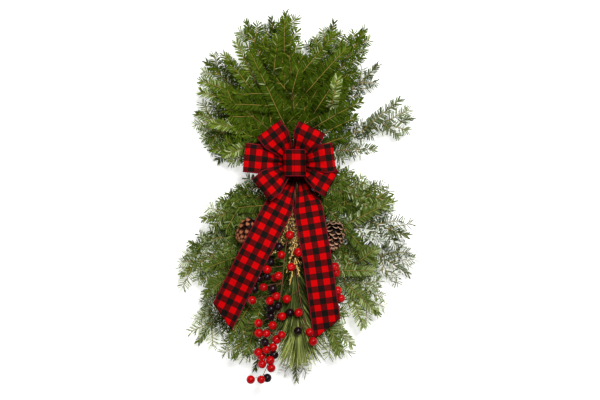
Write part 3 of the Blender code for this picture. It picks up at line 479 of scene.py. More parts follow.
class Skin:
    """The colour, gloss and fine relief of one kind of surface, as it is mixed."""

    def __init__(self, name, roughness, specular=0.5):
        self.made = bpy.data.materials.new(name)
        self.made.use_nodes = True
        self.tree = self.made.node_tree
        self.shader = self.tree.nodes["Principled BSDF"]
        self.set("Roughness", roughness)
        self.set("Specular IOR Level", specular)

    def set(self, socket, value):
        self.shader.inputs[socket].default_value = value

    def join(self, socket, value):
        """Gives a socket a number, a colour, or what another node puts out."""
        if isinstance(value, tuple):
            socket.default_value = rgb(value)
        elif isinstance(value, (int, float)):
            socket.default_value = value
        else:
            self.tree.links.new(value, socket)

    def colour(self, value):
        self.join(self.shader.inputs["Base Color"], value)

    def grain(self):
        uv = self.tree.nodes.new("ShaderNodeUVMap")
        uv.uv_map = "grain"
        apart = self.tree.nodes.new("ShaderNodeSeparateXYZ")
        self.join(apart.inputs[0], uv.outputs[0])
        return apart.outputs[0], apart.outputs[1]

    def calc(self, kind, *values):
        node = self.tree.nodes.new("ShaderNodeMath")
        node.operation = kind
        for socket, value in zip(node.inputs, values):
            self.join(socket, value)
        return node.outputs[0]

    def place(self):
        return self.tree.nodes.new("ShaderNodeTexCoord").outputs["Object"]

    def noise(self, scale, detail=2.0, stretch=None):
        place = self.place()
        if stretch:
            mapping = self.tree.nodes.new("ShaderNodeMapping")
            mapping.inputs["Scale"].default_value = stretch
            self.join(mapping.inputs["Vector"], place)
            place = mapping.outputs[0]
        node = self.tree.nodes.new("ShaderNodeTexNoise")
        self.join(node.inputs["Scale"], scale)
        self.join(node.inputs["Detail"], detail)
        self.join(node.inputs["Vector"], place)
        return node.outputs[0]

    def ramp(self, source, *stops):
        node = self.tree.nodes.new("ShaderNodeValToRGB")
        while len(node.color_ramp.elements) < len(stops):
            node.color_ramp.elements.new(0.5)
        for element, (at, colour) in zip(node.color_ramp.elements, stops):
            element.position = at
            element.color = rgb(colour)
        self.join(node.inputs[0], source)
        return node.outputs[0]

    def mix(self, share, a, b, kind="MIX"):
        node = self.tree.nodes.new("ShaderNodeMix")
        node.data_type = "RGBA"
        node.blend_type = kind
        for number, value in ((0, share), (6, a), (7, b)):
            self.join(node.inputs[number], value)
        return node.outputs[2]

    def relief(self, height, strength, distance):
        node = self.tree.nodes.new("ShaderNodeBump")
        node.inputs["Strength"].default_value = strength
        node.inputs["Distance"].default_value = distance
        self.join(node.inputs["Height"], height)
        self.join(self.shader.inputs["Normal"], node.outputs[0])


def needle_skin(name, foot, *stops):
    """Waxy needles: the shade picks the green, and each has a foot of its own colour."""
    skin = Skin(name, 0.6, 0.03)
    along, shade = skin.grain()
    shade = skin.calc("ADD", shade, skin.calc("MULTIPLY", skin.noise(26), 0.3))
    green = skin.ramp(skin.calc("SUBTRACT", shade, 0.15), *stops)
    near_foot = skin.ramp(along, (0, WHITE), (0.24, (0, 0, 0)))
    skin.colour(skin.mix(near_foot, green, foot))
    return skin.made


def bark_skin(name, young, old):
    """Thin bark: old in its hollows and thick parts, young and smooth on the shoots."""
    skin = Skin(name, 0.75, 0.1)
    _, shade = skin.grain()
    age = skin.calc("ADD", shade, skin.calc("MULTIPLY", skin.noise(160, 4), 0.4))
    skin.colour(skin.ramp(age, (0.42, old), (0.8, young)))
    skin.relief(skin.noise(420, 4), 0.5, 0.0005)
    return skin.made


bark = bark_skin("fir_bark", (280, 200, 36), (100, 64, 20))
# top face, then underside: the colour of the foot, then the shades from dark to light
GREENS = {
    "upper": (
        ((16, 30, 2), (0, (7, 15, 1)), (0.3, (19, 39, 1)), (0.55, (36, 66, 2)),
         (0.8, (58, 94, 3)), (1, (130, 185, 18))),
        ((40, 64, 12), (0, (30, 55, 8)), (0.5, (130, 180, 44)), (1, (420, 490, 220))),
    ),
    "silver": (
        ((20, 32, 7), (0, (6, 12, 2)), (0.35, (18, 32, 6)), (0.65, (50, 72, 18)),
         (1, (190, 230, 110))),
        ((240, 270, 200), (0, (260, 290, 220)), (0.4, (640, 680, 600)),
         (1, (940, 950, 920))),
    ),
    "lower": (
        ((22, 38, 4), (0, (6, 13, 1)), (0.3, (24, 44, 3)), (0.55, (58, 92, 9)),
         (0.8, (115, 158, 28)), (1, (300, 360, 130))),
        ((110, 140, 56), (0, (80, 110, 36)), (0.45, (330, 390, 200)), (1, (760, 820, 600))),
    ),
}
greens = {
    word: [needle_skin(f"{word}_fir_{face}", *colours)
           for face, colours in zip(("top", "underside"), pair)]
    for word, pair in GREENS.items()
}
for word, side, table in (("upper", 1, UPPER_BOUGHS), ("lower", -1, LOWER_BOUGHS)):
    for number, row in enumerate(table, 1):
        draw = np.random.default_rng(100 * (side + 2) + number)
        growth = bough(side, number, row, draw)
        silvery = row[2][0] > SILVERY_FROM[side] or row[-1] > SILVERY_PALE
        pair = greens["silver" if silvery else word]
        piece = growth.piece(f"fir_{word}_{number:02d}", (*pair, bark), (2,))
        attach(piece, "root")
        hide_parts(f"{word}_bough_{number:02d}")

# Pine tuft: a twig of long-needled pine laid down the middle of the lower fan, under the
# tails. Its needles grow in bundles of five from one sheath, thin and slightly drooping,
# and brush out at the tip.
PINE_ROUTE = [
    (-22.2, 86, 39.2), (-22.5, 50, 39.9), (-22, 0, 49), (-16, -80, 67), (-6, -170, 75),
    (2, -278, 77),
]
PINE_BUNDLES = 220
PINE_NEEDLES = 5
PINE_LENGTH = 0.1
PINE_WIDTH = 0.0012
PINE_DEPTH = 0.0008

draw = np.random.default_rng(7)
growth = Growth()
line = Line(through(mm(PINE_ROUTE), 6))
tube(growth, line.points, (0.0019, 0.0012), 2, 7, 0.2)
start = 0.56 * line.length
s = start + (line.length - 0.001 - start) * np.linspace(0, 1, PINE_BUNDLES) ** 0.6
s = np.repeat(s, PINE_NEEDLES)
way = line.heading(s)
side, up = axes_along(way)
roll = np.repeat(draw.uniform(0, math.tau, PINE_BUNDLES), PINE_NEEDLES)
roll = roll + draw.normal(0, 0.2, len(s))
share = (s - start) / (line.length - start)
angle = np.radians(np.repeat(draw.uniform(3, 42, PINE_BUNDLES), PINE_NEEDLES))
angle = angle + draw.normal(0, 0.05, len(s))
wide = np.sign(np.cos(roll)) * abs(np.cos(roll)) ** 0.6
out = side * wide[:, None] + up * np.clip(0.36 * np.sin(roll), -0.36, 0.1)[:, None]
ways = unit(way * np.cos(angle)[:, None] + out * np.sin(angle)[:, None])
tops = square_to(ways, up)
needles(
    growth, line.at(s), ways, tops, PINE_LENGTH * draw.uniform(0.78, 1.08, len(s)),
    PINE_WIDTH, PINE_DEPTH, draw.normal(-0.03, 0.06, len(s)),
    np.clip(0.1 + draw.normal(0, 0.32, len(s)) + 0.52 * share**2, 0, 1),
    ((0.0, 0.6), (0.3, 1.0), (0.65, 1.0), (0.93, 0.7)), (0, 1),
)
pine_top = needle_skin(
    "pine_needle", (30, 36, 6), (0, (12, 20, 3)), (0.4, (84, 110, 18)),
    (1, (440, 480, 140)),
)
pine_inside = needle_skin(
    "pine_needle_inside", (40, 48, 12), (0, (20, 32, 8)), (0.4, (100, 130, 40)),
    (1, (360, 420, 180)),
)
piece = growth.piece("pine_tuft_needles", (pine_top, pine_inside, bark), (2,))
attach(piece, "root")
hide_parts("pine_tuft")

# Gilded sprigs: dried cypress sprays under the bow, sprayed with gold paint. Flat
# branchlets leave the stem left and right, and scale leaves cover each like small beads.
GILT_SPRIGS = {
    "gilt_sprig_1": [
        (-13, 86, 38.4), (-13, 50, 40), (-12, 0, 58), (-11, -45, 78), (-6.5, -75, 86),
        (-8, -118, 89),
    ],
    "gilt_sprig_2": [
        (-27, 86, 38.2), (-28, 50, 39), (-31, 0, 56), (-36, -55, 78), (-44, -90, 88),
        (-49, -116, 90),
    ],
    "gilt_sprig_3": [
        (-4, 86, 38.4), (-4, 50, 40), (-0.5, 0, 58), (-1, -60, 86), (-4, -105, 94),
        (-8, -150, 96),
    ],
}
# bare forked ends
GILT_TIPS = {
    "gilt_sprig_1": ((-25, -158, 94),),
    "gilt_sprig_3": ((-18, -184, 94), (3, -166, 94)),
}
GILT_SPRAYS = 18
GILT_REACH = 0.028


def beads(growth, line, start, size, shade, draw):
    """Scale leaves along a branchlet: small pointed beads, left and right in turn."""
    s = np.arange(start, line.length, 0.8 * size)
    way = line.heading(s)
    side, up = axes_along(way)
    hand = np.where(np.arange(len(s)) % 2, 1.0, -1.0)
    ways = unit(way + side * (0.55 * hand)[:, None] + up * draw.normal(0, 0.25, len(s))[:, None])
    tops = square_to(ways, up)
    width = size * draw.uniform(0.42, 0.6, len(s))
    needles(
        growth, line.at(s) + tops * (0.3 * width)[:, None], ways, tops,
        size * draw.uniform(0.9, 1.2, len(s)), width, width, 0.0,
        np.clip(shade + draw.normal(-0.16, 0.42, len(s)), 0, 1), ((0.0, 0.5), (0.4, 1.0)), (0, 0),
    )


# gold paint: bright on some beads and dark brown on others, from each bead's shade and a fine
# noise; the dark beads stand in for the shade between them, painted shade
gilt = Skin("gilt_paint", 0.42, 0.2)
bead_tone = gilt.calc("ADD", gilt.grain()[1], gilt.calc("MULTIPLY", gilt.noise(300), 0.5))
gilt.colour(gilt.ramp(
    bead_tone, (0.44, (14, 5, 1)), (0.7, (190, 88, 14)), (0.93, (820, 540, 160))
))
gilt.set("Metallic", 0.15)
gilt.relief(gilt.noise(900, 4), 0.4, 0.0003)
for number, (name, route) in enumerate(GILT_SPRIGS.items()):
    draw = np.random.default_rng(40 + number)
    growth = Growth()
    line = Line(through(mm(route), 6))
    tube(growth, line.points, (0.0011, 0.0006), 0, 6, 0.4)
    beads(growth, line, 0.5 * line.length, 0.003, 0.5, draw)
    for k in range(GILT_SPRAYS):
        s = line.length * (0.48 + 0.5 * (k + 0.5) / GILT_SPRAYS)
        length = GILT_REACH * draw.uniform(0.7, 1.1) * (1.1 - 0.5 * k / GILT_SPRAYS)
        spray = shoot_line(line, s, 1 if k % 2 else -1, length, draw)
        tube(growth, spray.points, (0.0005, 0.0005), 0, 4, 0.4)
        beads(growth, spray, 0.001, 0.0027, 0.5, draw)
        for at, hand in ((0.35, 1), (0.55, -1)):
            twig = shoot_line(spray, at * spray.length, hand, 0.42 * length, draw)
            beads(growth, twig, 0.0, 0.0024, 0.55, draw)
    for tip in GILT_TIPS.get(name, ()):
        tip_line = Line([line.at(0.9 * line.length), mm(tip)])
        for at, hand in ((0.45, 1), (0.62, -1), (0.78, 1)):
            twig = shoot_line(tip_line, at * tip_line.length, hand, 0.005, draw)
            tube(growth, twig.points, (0.0007, 0.0007), 0, 5, 0.9)
        tube(growth, tip_line.points, (0.0009, 0.0009), 0, 5, 0.9)
    piece = growth.piece(name + "_gold", (gilt.made,))
    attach(piece, "root")
    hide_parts(name)

# Berry picks: three picks of lacquered berries, red and near-black, whose reddish brown
# stems are pushed into the bundle. Each berry has a short pedicel of its own and a dark
# dimple where its flower was.
BERRY_RADIUS = 0.0096
BERRY_SIDES = 18
# how far round from its eye each ring of a berry lies, in radians
BERRY_RINGS = (0.12, 0.26, 0.46, 0.76, 1.06, 1.36, 1.66, 1.96, 2.26, 2.56, 2.86)
BERRIES_DRAWN_IN = (0.987, 0.987, 1.0)
# the stem, the red berries, the near-black berries
BERRY_PICKS = {
    "berry_spray_1": (
        [(-17.5, 86, 38.6), (-17.5, 50, 40.3), (-16.5, 0, 55), (-20, -60, 79), (-29, -120, 86),
         (-34, -180, 86), (-44, -240, 86), (-56, -300, 83), (-64, -352, 80), (-78, -386, 82)],
        [(-37, -121, 92), (-68, -153, 92), (-43, -167, 92), (-76, -192, 92), (-101, -221, 88),
         (-62, -222, 92), (-35, -256, 92), (-87, -271, 92), (-86, -293, 92), (-70, -294, 84),
         (-36, -297, 92), (-47, -308, 84), (-70, -330, 92), (-88, -335, 92), (-61, -353, 92),
         (-79, -361, 92), (-59, -370, 90), (-104, -395, 92), (-81, -395, 92), (-56, -276, 92),
         (-55, -325, 84), (-50, -172, 76), (-48, -212, 92), (-81, -345, 78)],
        [(-60, -137, 92), (-86, -173, 86), (-96, -196, 86), (-56, -196, 92), (-44, -233, 92),
         (-60, -240, 92), (-73, -313, 92), (-53, -342, 80), (-68, -393, 80), (-68, -169, 84),
         (-61, -256, 84)],
    ),
    "berry_spray_2": (
        [(-8.5, 86, 38.6), (-8.5, 50, 40.3), (-6, 0, 55), (-4, -70, 79), (-4, -140, 84),
         (4, -210, 85), (14, -260, 85), (26, -298, 83)],
        [(-18, -77, 96), (1, -115, 98), (-15, -147, 98), (-25, -218, 92), (1, -248, 92),
         (26, -292, 84), (33, -311, 92)],
        [(-42, -103, 92), (-18, -248, 92), (0, -288, 92)],
    ),
    "berry_spray_3": (
        [(1, 86, 38.6), (3.5, 50, 40.3), (18, 0, 55), (34, -45, 66), (43, -90, 74),
         (52, -128, 78), (74, -165, 80), (88, -208, 80)],
        [(81, -147, 90), (84, -161, 80), (87, -200, 86), (95, -217, 84)],
        [],
    ),
}


def berry(growth, place, eye, slot, draw):
    """A round berry, slightly flattened, with a dimple and a dark dot at its eye."""
    eye = unit(np.array(eye))
    side, up = axes_along(eye + 1e-6)
    turn = round_turn(BERRY_SIDES)
    around = side * np.cos(turn)[:, None] + up * np.sin(turn)[:, None]
    radius = BERRY_RADIUS * draw.uniform(0.94, 1.04)
    rings = []
    for tilt in BERRY_RINGS:
        dimple = 0.14 * math.exp(-((tilt / 0.26) ** 2))
        dimple += 0.08 * math.exp(-(((math.pi - tilt) / 0.4) ** 2))
        height = 0.96 * math.cos(tilt) * (1 - dimple)
        rings.append(radius * (eye * height + around * math.sin(tilt)))
    ends = [eye * radius * 0.8, -eye * radius * 0.88]
    points = np.concatenate([*rings, ends]) + place
    faces = wrapped(len(rings), BERRY_SIDES)[:, ::-1]
    slots = np.full(len(faces), slot)
    slots[-2 * BERRY_SIDES:-BERRY_SIDES] = 3
    growth.add(points, faces, slots, np.full((len(points), 2), 0.5))


def lacquer(name, colour, deep, coat):
    skin = Skin(name, 0.32, 0.08)
    skin.colour(skin.ramp(skin.noise(60, 3), (0.35, deep), (0.65, colour)))
    skin.set("Coat Weight", coat)
    skin.set("Coat Roughness", 0.16)
    skin.relief(skin.noise(500), 0.08, 0.0004)
    return skin.made


berry_skins = (
    lacquer("berry_red", (600, 1, 3), (330, 1, 2), 0.22),
    lacquer("berry_black", (14, 4, 7), (4, 1, 2), 0.3),
    bark_skin("berry_stem", (190, 70, 40), (80, 30, 20)),
    bark_skin("berry_eye", (30, 12, 10), (15, 8, 6)),
)
for number, (name, (route, *kinds)) in enumerate(BERRY_PICKS.items()):
    draw = np.random.default_rng(60 + number)
    growth = Growth()
    line = Line(through(mm(route), 5))
    tube(growth, line.points, (0.0014, 0.0008), 2, 7, 0.5)
    for slot, spots in enumerate(kinds):
        for spot in spots:
            place = mm(spot) * BERRIES_DRAWN_IN
            gap = np.linalg.norm(line.points - place, axis=1)
            root = line.points[np.argmin(gap + 0.5 * abs(line.points[:, 1] - place[1] - 0.016))]
            middle = (root + place) / 2 + (0, 0.002, 0.003)
            stalk = Line(through([root, middle, place], 5))
            tube(growth, stalk.points, (0.0006, 0.0006), 2, 5, 0.5)
            eye = place - root + (draw.uniform(-0.006, 0.006), 0, draw.uniform(0.012, 0.05))
            berry(growth, place, eye, slot, draw)
    piece = growth.piece(name + "_berries", berry_skins, (0, 1, 2, 3))
    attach(piece, "root")
    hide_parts(name)

# Pine cones: two dry open cones. Woody scales spiral round the core, each with a
# thickened pale tip. Florist's wire goes round the lowest scales and ties the cone to a
# bough's stem.
GOLDEN_TURN = math.pi * (3 - math.sqrt(5))
WIRE_RADIUS = 0.0006
# place, apex direction, (length, width, scale width, scale thickness), number of scales,
# how far the lowest scales lean to the apex in degrees, colour from the core to the tips, the dark
# core partly painted shade
CONES = {
    "pine_cone_left": (
        (-112, -68, 75), (-0.45, -0.75, 0.22), (68, 53, 8.8, 6.2), 46, 4,
        (0.496, (10, 3, 2)), (0.768, (110, 28, 10)), (0.912, (400, 140, 64)),
    ),
    "pine_cone_right": (
        (77, -81, 72), (-0.16, -0.9, 0.3), (74, 53, 15.0, 1.2), 70, -14,
        (0.4, (6, 3, 2)), (0.776, (50, 20, 10)), (0.848, (520, 300, 190)),
    ),
}
# sections of a scale: share of its length, of its width, of its thickness, bend
SCALE_CUTS = (
    (0.0, 0.35, 0.35, 0.0), (0.4, 0.62, 0.45, 0.03), (0.72, 0.95, 0.7, 0.1),
    (0.92, 1.0, 1.15, 0.22), (1.0, 0.72, 0.8, 0.3),
)
SCALE_ACROSS = np.array((-1.0, -0.55, 0.0, 0.55, 1.0))[:, None]
CORE_RADII = np.array((0.2, 0.36, 0.42, 0.42, 0.38, 0.32, 0.24, 0.16, 0.08))


def cone_scale(growth, root, out, axis, reach, width, thick):
    """A woody scale: a spoon that widens outwards, bends up and ends in a blunt lip. Each
    section goes across its top and back across its underside, ten points in all."""
    aside = unit(np.cross(axis, out))
    rings = []
    for along, wide, deep, lift in SCALE_CUTS:
        middle = root + out * reach * along + axis * reach * lift
        middle = middle + aside * 0.5 * width * wide * SCALE_ACROSS
        middle = middle - axis * 0.2 * width * SCALE_ACROSS**2
        crown = axis * 0.5 * thick * deep * (1 - 0.55 * SCALE_ACROSS**2)
        rings += [middle + crown, (middle - crown * 1.2)[::-1]]
    n = np.arange(4)
    ends = (
        (n + 1, n, 9 - n), (n + 1, 9 - n, 8 - n), (n + 40, n + 41, 48 - n), (n + 40, 48 - n, 49 - n)
    )
    walls = wrapped(len(SCALE_CUTS), 10)[:-20]
    faces = np.concatenate([walls, *(np.stack(three, -1) for three in ends)])
    grain = np.full((50, 2), 0.5)
    grain[:, 0] = np.repeat([cut[0] for cut in SCALE_CUTS], 10)
    growth.add(np.concatenate(rings), faces, 0, grain)


def cone_skin(name, stops):
    skin = Skin(name, 0.55, 0.1)
    # darker towards each scale's root: partly the wood's own colour, partly painted shade in the
    # gaps between scales; lighter at the tip: the pale lip the wood has, with a painted highlight
    mottle = skin.calc("MULTIPLY", skin.noise(260, 4), 0.24)
    root_shade_to_tip = skin.calc("MULTIPLY", skin.calc("ADD", skin.grain()[0], mottle), 0.8)
    skin.colour(skin.ramp(root_shade_to_tip, *stops))
    skin.relief(skin.noise(320, 5, (1.0, 1.0, 3.0)), 0.5, 0.0006)
    return skin.made


wire = Skin("binding_wire", 0.42)
strands = wire.noise(900, 3, (0.15, 1.0, 0.15))
wire.colour(wire.ramp(strands, (0.3, (40, 50, 36)), (0.7, (110, 125, 95))))
wire.set("Metallic", 0.8)
wire.relief(strands, 0.35, 0.0003)
stems = np.concatenate([stem_line(-1, *row[:4], row[5]).points for row in LOWER_BOUGHS])
for number, (name, row) in enumerate(CONES.items()):
    place, apex, sizes, scales, lowest_lean, *stops = row
    length, width, scale_width, scale_thick = mm(sizes)
    draw = np.random.default_rng(80 + number)
    growth = Growth()
    axis = unit(np.array(apex))
    side, up = axes_along(axis)
    place = mm(place)
    core = [place + axis * length * t for t in np.linspace(-0.44, 0.4, 9)]
    tube(growth, core, 0.5 * width * CORE_RADII, 0, 12, 0.5)
    for k in range(scales):
        t = (k + 0.5) / scales
        turn = k * GOLDEN_TURN
        round_out = side * math.cos(turn) + up * math.sin(turn)
        full = 0.5 * width * math.sin(math.pi * (0.17 + 0.76 * t)) ** 0.7
        lean = math.radians(lowest_lean + 76 * t**1.5 + draw.uniform(-9, 9))
        out = round_out * math.cos(lean) + axis * math.sin(lean)
        root = place + axis * length * (-0.42 + 0.74 * t) + round_out * 0.2 * full
        reach = 0.76 * full * draw.uniform(0.92, 1.06)
        cone_scale(growth, root, out, unit(axis - out * axis.dot(out)), reach,
                   scale_width * (1.15 - 0.5 * t), scale_thick)
    base = place - axis * 0.4 * length
    below = stems[stems[:, 2] < base[2] - 0.004]
    foot = below[np.argmin(np.linalg.norm(below - base, axis=1))]
    turn = np.linspace(0, math.tau, 25)[:, None]
    hoop = base + (side * np.cos(turn) + up * np.sin(turn)) * 0.3 * width
    lead = through([hoop[0], (hoop[0] + foot) / 2 + (0.0, 0.003, 0.0), foot], 6)
    for strand in (hoop, lead):
        tube(growth, strand, (WIRE_RADIUS, WIRE_RADIUS), 1, 5)
    piece = growth.piece(name + "_scales", (cone_skin(name + "_wood", stops), wire.made), (0, 1))
    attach(piece, "root")
    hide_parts(name)

# Binding: green-grey florist's wire, drawn tight three times round all the cut ends at
# the waist. The turns touch, so the wound band keeps the shape that it has in the model.
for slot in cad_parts["binding_wire"].material_slots:
    slot.material = wire.made

# Ribbon tails: check-woven ribbon 63.5 mm wide, with a fine wire sewn into each selvage.
# Two tails come out of the knot folded narrow, open out and end in long slanting cuts.
RIBBON_WIDTH = 0.0635
RIBBON_THICK = 0.00045
SELVAGE_WIDTH = 0.0016
SELVAGE_THICK = 0.0013
MAROON_EDGE = 0.0019
CHECK = 0.0137
TWILL_PITCH = 0.0011
THREAD_PITCH = 0.0006
NECK = np.array((-0.008, 0.081, 0.053))
TAIL_FOLD = np.array((-0.008, 0.076, 0.0422))
TAIL_FOLD_RADII = (0.01, 0.012, 0.0022)
GATHER_SIDES = 32
GATHER_RINGS = 13
# the length of each tail that is hidden in the fold
TAIL_SLANT = 0.036
TAIL_PINCH = 0.016
TAIL_OPENS_FROM = 0.022
TAIL_OPENS_OVER = 0.085
LEFT_TAIL = [
    (-10, 70, 42), (-13, 40, 50), (-28, 10, 64), (-51, -33, 87), (-78, -85, 104),
    (-105, -137, 103), (-132, -190, 98), (-172, -270, 88),
]
RIGHT_TAIL = [
    (-6, 70, 42), (7, 40, 50), (18, 5, 66), (26, -38, 87), (34, -83, 102), (42, -130, 105),
    (53, -208, 100), (66, -298, 89),
]
# places across the ribbon, from one selvage to the other
COLUMNS = np.linspace(-1, 1, 31)


def ribbon(growth, middle, along):
    """A closed strip over a grid of points, rows along the ribbon and columns across.
    Its grain runs across the ribbon and along it, in metres."""
    rows, across = middle.shape[:2]
    front = unit(np.cross(np.gradient(middle, axis=1), np.gradient(middle, axis=0)))
    edge = np.maximum(1 - (1 - abs(COLUMNS)) * 0.5 * RIBBON_WIDTH / SELVAGE_WIDTH, 0.0)
    half = 0.5 * (RIBBON_THICK + (SELVAGE_THICK - RIBBON_THICK) * edge)[:, None]
    points = np.concatenate([middle + front * half, middle - front * half])
    grain = np.stack(np.broadcast_arrays((COLUMNS * 0.5 + 0.5) * RIBBON_WIDTH, along), -1)
    top, low = np.arange(2 * rows * across).reshape(2, rows, across)
    quads = (
        (top[:-1, :-1], top[:-1, 1:], top[1:, 1:], top[1:, :-1]),
        (low[:-1, :-1], low[1:, :-1], low[1:, 1:], low[:-1, 1:]),
        (top[:-1, 0], top[1:, 0], low[1:, 0], low[:-1, 0]),
        (top[1:, -1], top[:-1, -1], low[:-1, -1], low[1:, -1]),
        (top[0, 1:], top[0, :-1], low[0, :-1], low[0, 1:]),
        (top[-1, :-1], top[-1, 1:], low[-1, 1:], low[-1, :-1]),
    )
    halves = [np.stack(three, -1).reshape(-1, 3)
              for a, b, c, d in quads for three in ((a, b, c), (a, c, d))]
    growth.add(points, np.concatenate(halves), 0, np.tile(grain, (2, 1, 1)))


def pleats(width, deep, folds, phase):
    """How far each column stands off where the cloth is drawn in to a smaller width."""
    drawn = np.sqrt(np.clip(1 - (width / RIBBON_WIDTH) ** 2, 0.0, 1.0))
    return deep * drawn[:, None] * np.cos(math.pi * folds * COLUMNS + phase)


def tail_grid(points, inner):
    """A tail: pinched at the waist, then full width with soft waves, and cut on a slant.
    inner is the selvage that is cut longer, -1 or 1."""
    line = Line(through(mm(points), 6))
    longer = TAIL_SLANT * (COLUMNS * inner - 1) / 2
    k = np.linspace(0, 1, 110)[:, None]
    s = (line.length + longer) * k
    aside, up = axes_along(line.heading(s, 0.02))
    opened = smooth((s - TAIL_OPENS_FROM) / TAIL_OPENS_OVER)
    width = TAIL_PINCH + (RIBBON_WIDTH - TAIL_PINCH) * opened
    grid = line.at(s) + aside * (0.5 * width * COLUMNS)[..., None]
    lift = pleats(width[:, 0], 0.0014, 2.5, 0.6 * inner)
    lift += 0.0012 * opened * np.sin(s / 0.016 + 1.7 * inner + 0.8 * COLUMNS)
    lift += 0.0014 * opened * COLUMNS ** 2 * np.sin(s / 0.024 + inner)
    return grid + up * lift[..., None], s, line.length


def check_skin():
    """Buffalo check: red and black threads both ways, twill where the two colours cross,
    a maroon thread along each selvage, and the shade of the loops round the knot."""
    skin = Skin("check_ribbon", 0.6, 0.02)
    across, along = skin.grain()

    def stripe(place, shift):
        turned = skin.calc("DIVIDE", skin.calc("ADD", place, shift), 2 * CHECK)
        return skin.calc("GREATER_THAN", skin.calc("FRACT", turned), 0.5)

    def waves(place, pitch):
        return skin.calc("SINE", skin.calc("MULTIPLY", place, math.tau / pitch))

    warp = stripe(across, 40 * CHECK - RIBBON_WIDTH / 2 + CHECK / 2)
    weft = stripe(along, 40 * CHECK)
    twill = skin.calc("GREATER_THAN", waves(skin.calc("ADD", across, along), TWILL_PITCH), 0.25)
    shaded = skin.calc("MULTIPLY", skin.noise(900, 3), 0.6)
    red = skin.ramp(shaded, (0.15, (480, 1, 2)), (0.45, (680, 1, 2)))
    black = skin.ramp(shaded, (0.15, (5, 4, 3)), (0.45, (12, 9, 7)))
    mixed = skin.mix(twill, (30, 4, 4), (200, 2, 3))
    colour = skin.mix(skin.calc("MAXIMUM", warp, weft), black, mixed)
    colour = skin.mix(skin.calc("MULTIPLY", warp, weft), colour, red)
    off = skin.calc("ABSOLUTE", skin.calc("SUBTRACT", across, RIBBON_WIDTH / 2))
    edge = skin.calc("GREATER_THAN", off, RIBBON_WIDTH / 2 - MAROON_EDGE)
    colour = skin.mix(edge, colour, (190, 8, 16))
    # full shade up to 44 mm from a point below the knot, none from 80 mm
    away = skin.tree.nodes.new("ShaderNodeVectorMath")
    away.operation = "DISTANCE"
    skin.join(away.inputs[0], skin.place())
    away.inputs[1].default_value = NECK + np.array(MOVED) - (0.0, 0.0, 0.03)
    away = skin.calc("MULTIPLY", away.outputs["Value"], 10.0)
    shadow = skin.ramp(away, (0.44, (160, 140, 140)), (0.8, WHITE))
    skin.colour(skin.mix(1.0, colour, shadow, "MULTIPLY"))
    threads = skin.calc("MULTIPLY", waves(across, THREAD_PITCH), waves(along, THREAD_PITCH))
    weave = skin.calc("MULTIPLY", threads, 0.03)
    skin.relief(skin.calc("ADD", skin.noise(55), weave), 0.6, 0.005)
    return skin.made


def gathered(growth, middle, radii):
    """The cloth where it is drawn into a tight bunch: a small round with creases."""
    turn = round_turn(GATHER_SIDES)
    tilt = np.linspace(0.12, math.pi - 0.12, GATHER_RINGS)[:, None]
    crease = 1 - 0.05 * (1 + np.cos(8 * turn))
    rings = np.stack(np.broadcast_arrays(
        np.sin(tilt) * np.cos(turn) * crease, np.sin(tilt) * np.sin(turn) * crease, np.cos(tilt)
    ), -1)
    points = np.concatenate([rings.reshape(-1, 3), [(0, 0, 1.0), (0, 0, -1.0)]]) * radii
    faces = wrapped(GATHER_RINGS, GATHER_SIDES)[:, ::-1]
    growth.add(points + middle, faces, 0, points[:, :2])


check = check_skin()
growth = Growth()
gathered(growth, TAIL_FOLD, TAIL_FOLD_RADII)
for points, inner in ((LEFT_TAIL, -1), (RIGHT_TAIL, 1)):
    grid, s, length = tail_grid(points, inner)
    ribbon(growth, grid, s)
piece = growth.piece("ribbon_tails", (check,), (0,))
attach(piece, "root")
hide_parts("bow_tails")

# Bow: the same ribbon, gathered at one point into six loops and tied off, with a short
# loop over the knot. The wired selvages hold the loops open.
NECK_RADII = (0.0135, 0.0135, 0.0092)
NECK_HALF_GAP = 0.0022
PINCH_WIDTH = 0.007
FULL_WIDTH_AT = 0.078
LOOP_OPENING = 0.22
LOOP_FULLNESS = 0.62
LOOP_PLEATS = 0.003
# heading in degrees, reach, puff, rise in degrees, where the first red row starts from
# the fold
LOOPS = [
    (127, 92, 34, 26, 0),
    (63, 85, 34, 28, 1.5),
    (174, 109, 32, 19, 0),
    (8, 87, 34, 25, -6.5),
    (220, 93, 32, 26, 12.5),
    (-29, 93, 30, 21, 2.5),
]
CENTRE_HALF_ACROSS = 0.0255
CENTRE_HALF_DEEP = 0.0195
CENTRE_WIDTH = 0.059
CENTRE_SINK = 0.004


def loop_grid(heading, reach, puff, rise):
    heading, rise = math.radians(heading), math.radians(rise)
    reach, puff = mm((reach, puff))
    out = np.array((math.cos(heading), math.sin(heading), 0.0))
    aside = np.array((-out[1], out[0], 0.0))
    along = out * math.cos(rise) + (0, 0, math.sin(rise))
    front = -out * math.sin(rise) + (0, 0, math.cos(rise))
    turn = np.linspace(LOOP_OPENING, math.tau - LOOP_OPENING, 72)
    share = (1 - np.cos(turn)) / 2
    u = reach / math.cos(rise) * share
    v = LOOP_FULLNESS * puff * np.sin(turn) * share**0.6 + NECK_HALF_GAP * np.cos(turn / 2)
    width = PINCH_WIDTH + (RIBBON_WIDTH - PINCH_WIDTH) * np.minimum(u / FULL_WIDTH_AT, 1.0)
    spots = NECK + along * u[:, None] + front * v[:, None]
    grid = spots[:, None] + aside * (0.5 * width[:, None] * COLUMNS)[..., None]
    off = np.cross(unit(np.gradient(spots, axis=0)), aside)
    lift = pleats(width, LOOP_PLEATS, 3.0, 0.4 * heading) * smooth(share / 0.25)[:, None]
    marks = marks_along(spots)
    return grid + off[:, None] * lift[..., None], marks - np.interp(math.pi, turn, marks)


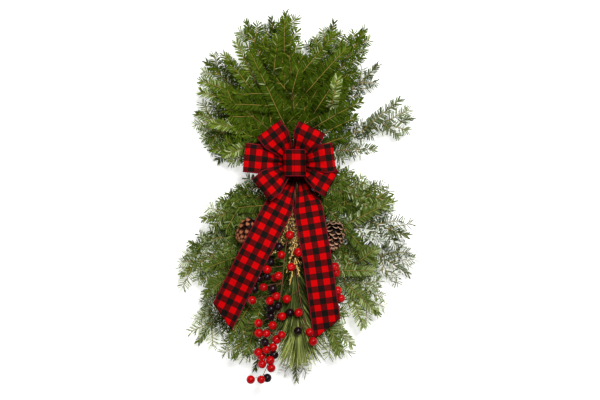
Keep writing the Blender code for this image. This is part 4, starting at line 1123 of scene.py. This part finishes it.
growth = Growth()
gathered(growth, NECK, NECK_RADII)
for *shape, first_red in LOOPS:
    grid, marks = loop_grid(*shape)
    ribbon(growth, grid, (marks + mm(first_red))[:, None])
turn = np.linspace(0, math.tau, 65)[:, None]
middle = NECK + (0, 0, NECK_RADII[2] + CENTRE_HALF_DEEP - CENTRE_SINK)
grid = np.stack(np.broadcast_arrays(
    middle[0] + CENTRE_HALF_ACROSS * np.sin(turn), middle[1] + 0.5 * CENTRE_WIDTH * COLUMNS,
    middle[2] + CENTRE_HALF_DEEP * np.cos(turn),
), -1)
marks = marks_along(grid[:, 0])
ribbon(growth, grid, (marks + CHECK)[:, None])
piece = growth.piece("ribbon_bow", (check,), (0,))
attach(piece, "root")
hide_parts("bow_loops")

# Table, lights and camera: the swag lies on a white table under two large soft lights,
# and the camera looks straight down.
CAMERA_HEIGHT = 3.117
CAMERA_LENS = 85
VIEW_MIDDLE = (0.0044, 0.0, 0.05)
TABLE_HALF = 14
TABLE_GLOW = 0.46
ROOM_LIGHT = 0.08

bpy.context.scene.view_settings.view_transform = "Standard"
corners = [(x * TABLE_HALF, y * TABLE_HALF, 0) for x, y in ((-1, -1), (1, -1), (1, 1), (-1, 1))]
table_mesh = bpy.data.meshes.new("table")
table_mesh.from_pydata(corners, [], [(0, 1, 2, 3)])
table = shown("table", table_mesh)
white = Skin("table_white", 0.9)
white.colour((960, 960, 960))
white.set("Emission Color", rgb(WHITE))
white.set("Emission Strength", TABLE_GLOW)
table_mesh.materials.append(white.made)
world = bpy.data.worlds.new("studio")
world.use_nodes = True
world.node_tree.nodes["Background"].inputs[0].default_value = rgb(WHITE)
world.node_tree.nodes["Background"].inputs[1].default_value = ROOM_LIGHT
bpy.context.scene.world = world
for name, spot, size, power in (
    ("key", (0.55, 0.95, 2.4), 0.9, 78.0),
    ("fill", (-0.8, -0.5, 2.6), 1.4, 16.0),
):
    lamp = bpy.data.lights.new(name, "AREA")
    lamp.size = size
    lamp.energy = power
    hung = shown(name, lamp)
    hung.location = spot
    hung.rotation_euler = (-Vector(spot)).to_track_quat("-Z", "Y").to_euler()
eye = bpy.data.cameras.new("camera")
eye.lens = CAMERA_LENS
eye.sensor_width = 36
camera = shown("camera", eye)
camera.location = (
    VIEW_MIDDLE[0] + MOVED.x, VIEW_MIDDLE[1] + MOVED.y, VIEW_MIDDLE[2] + CAMERA_HEIGHT
)
bpy.context.scene.camera = camera
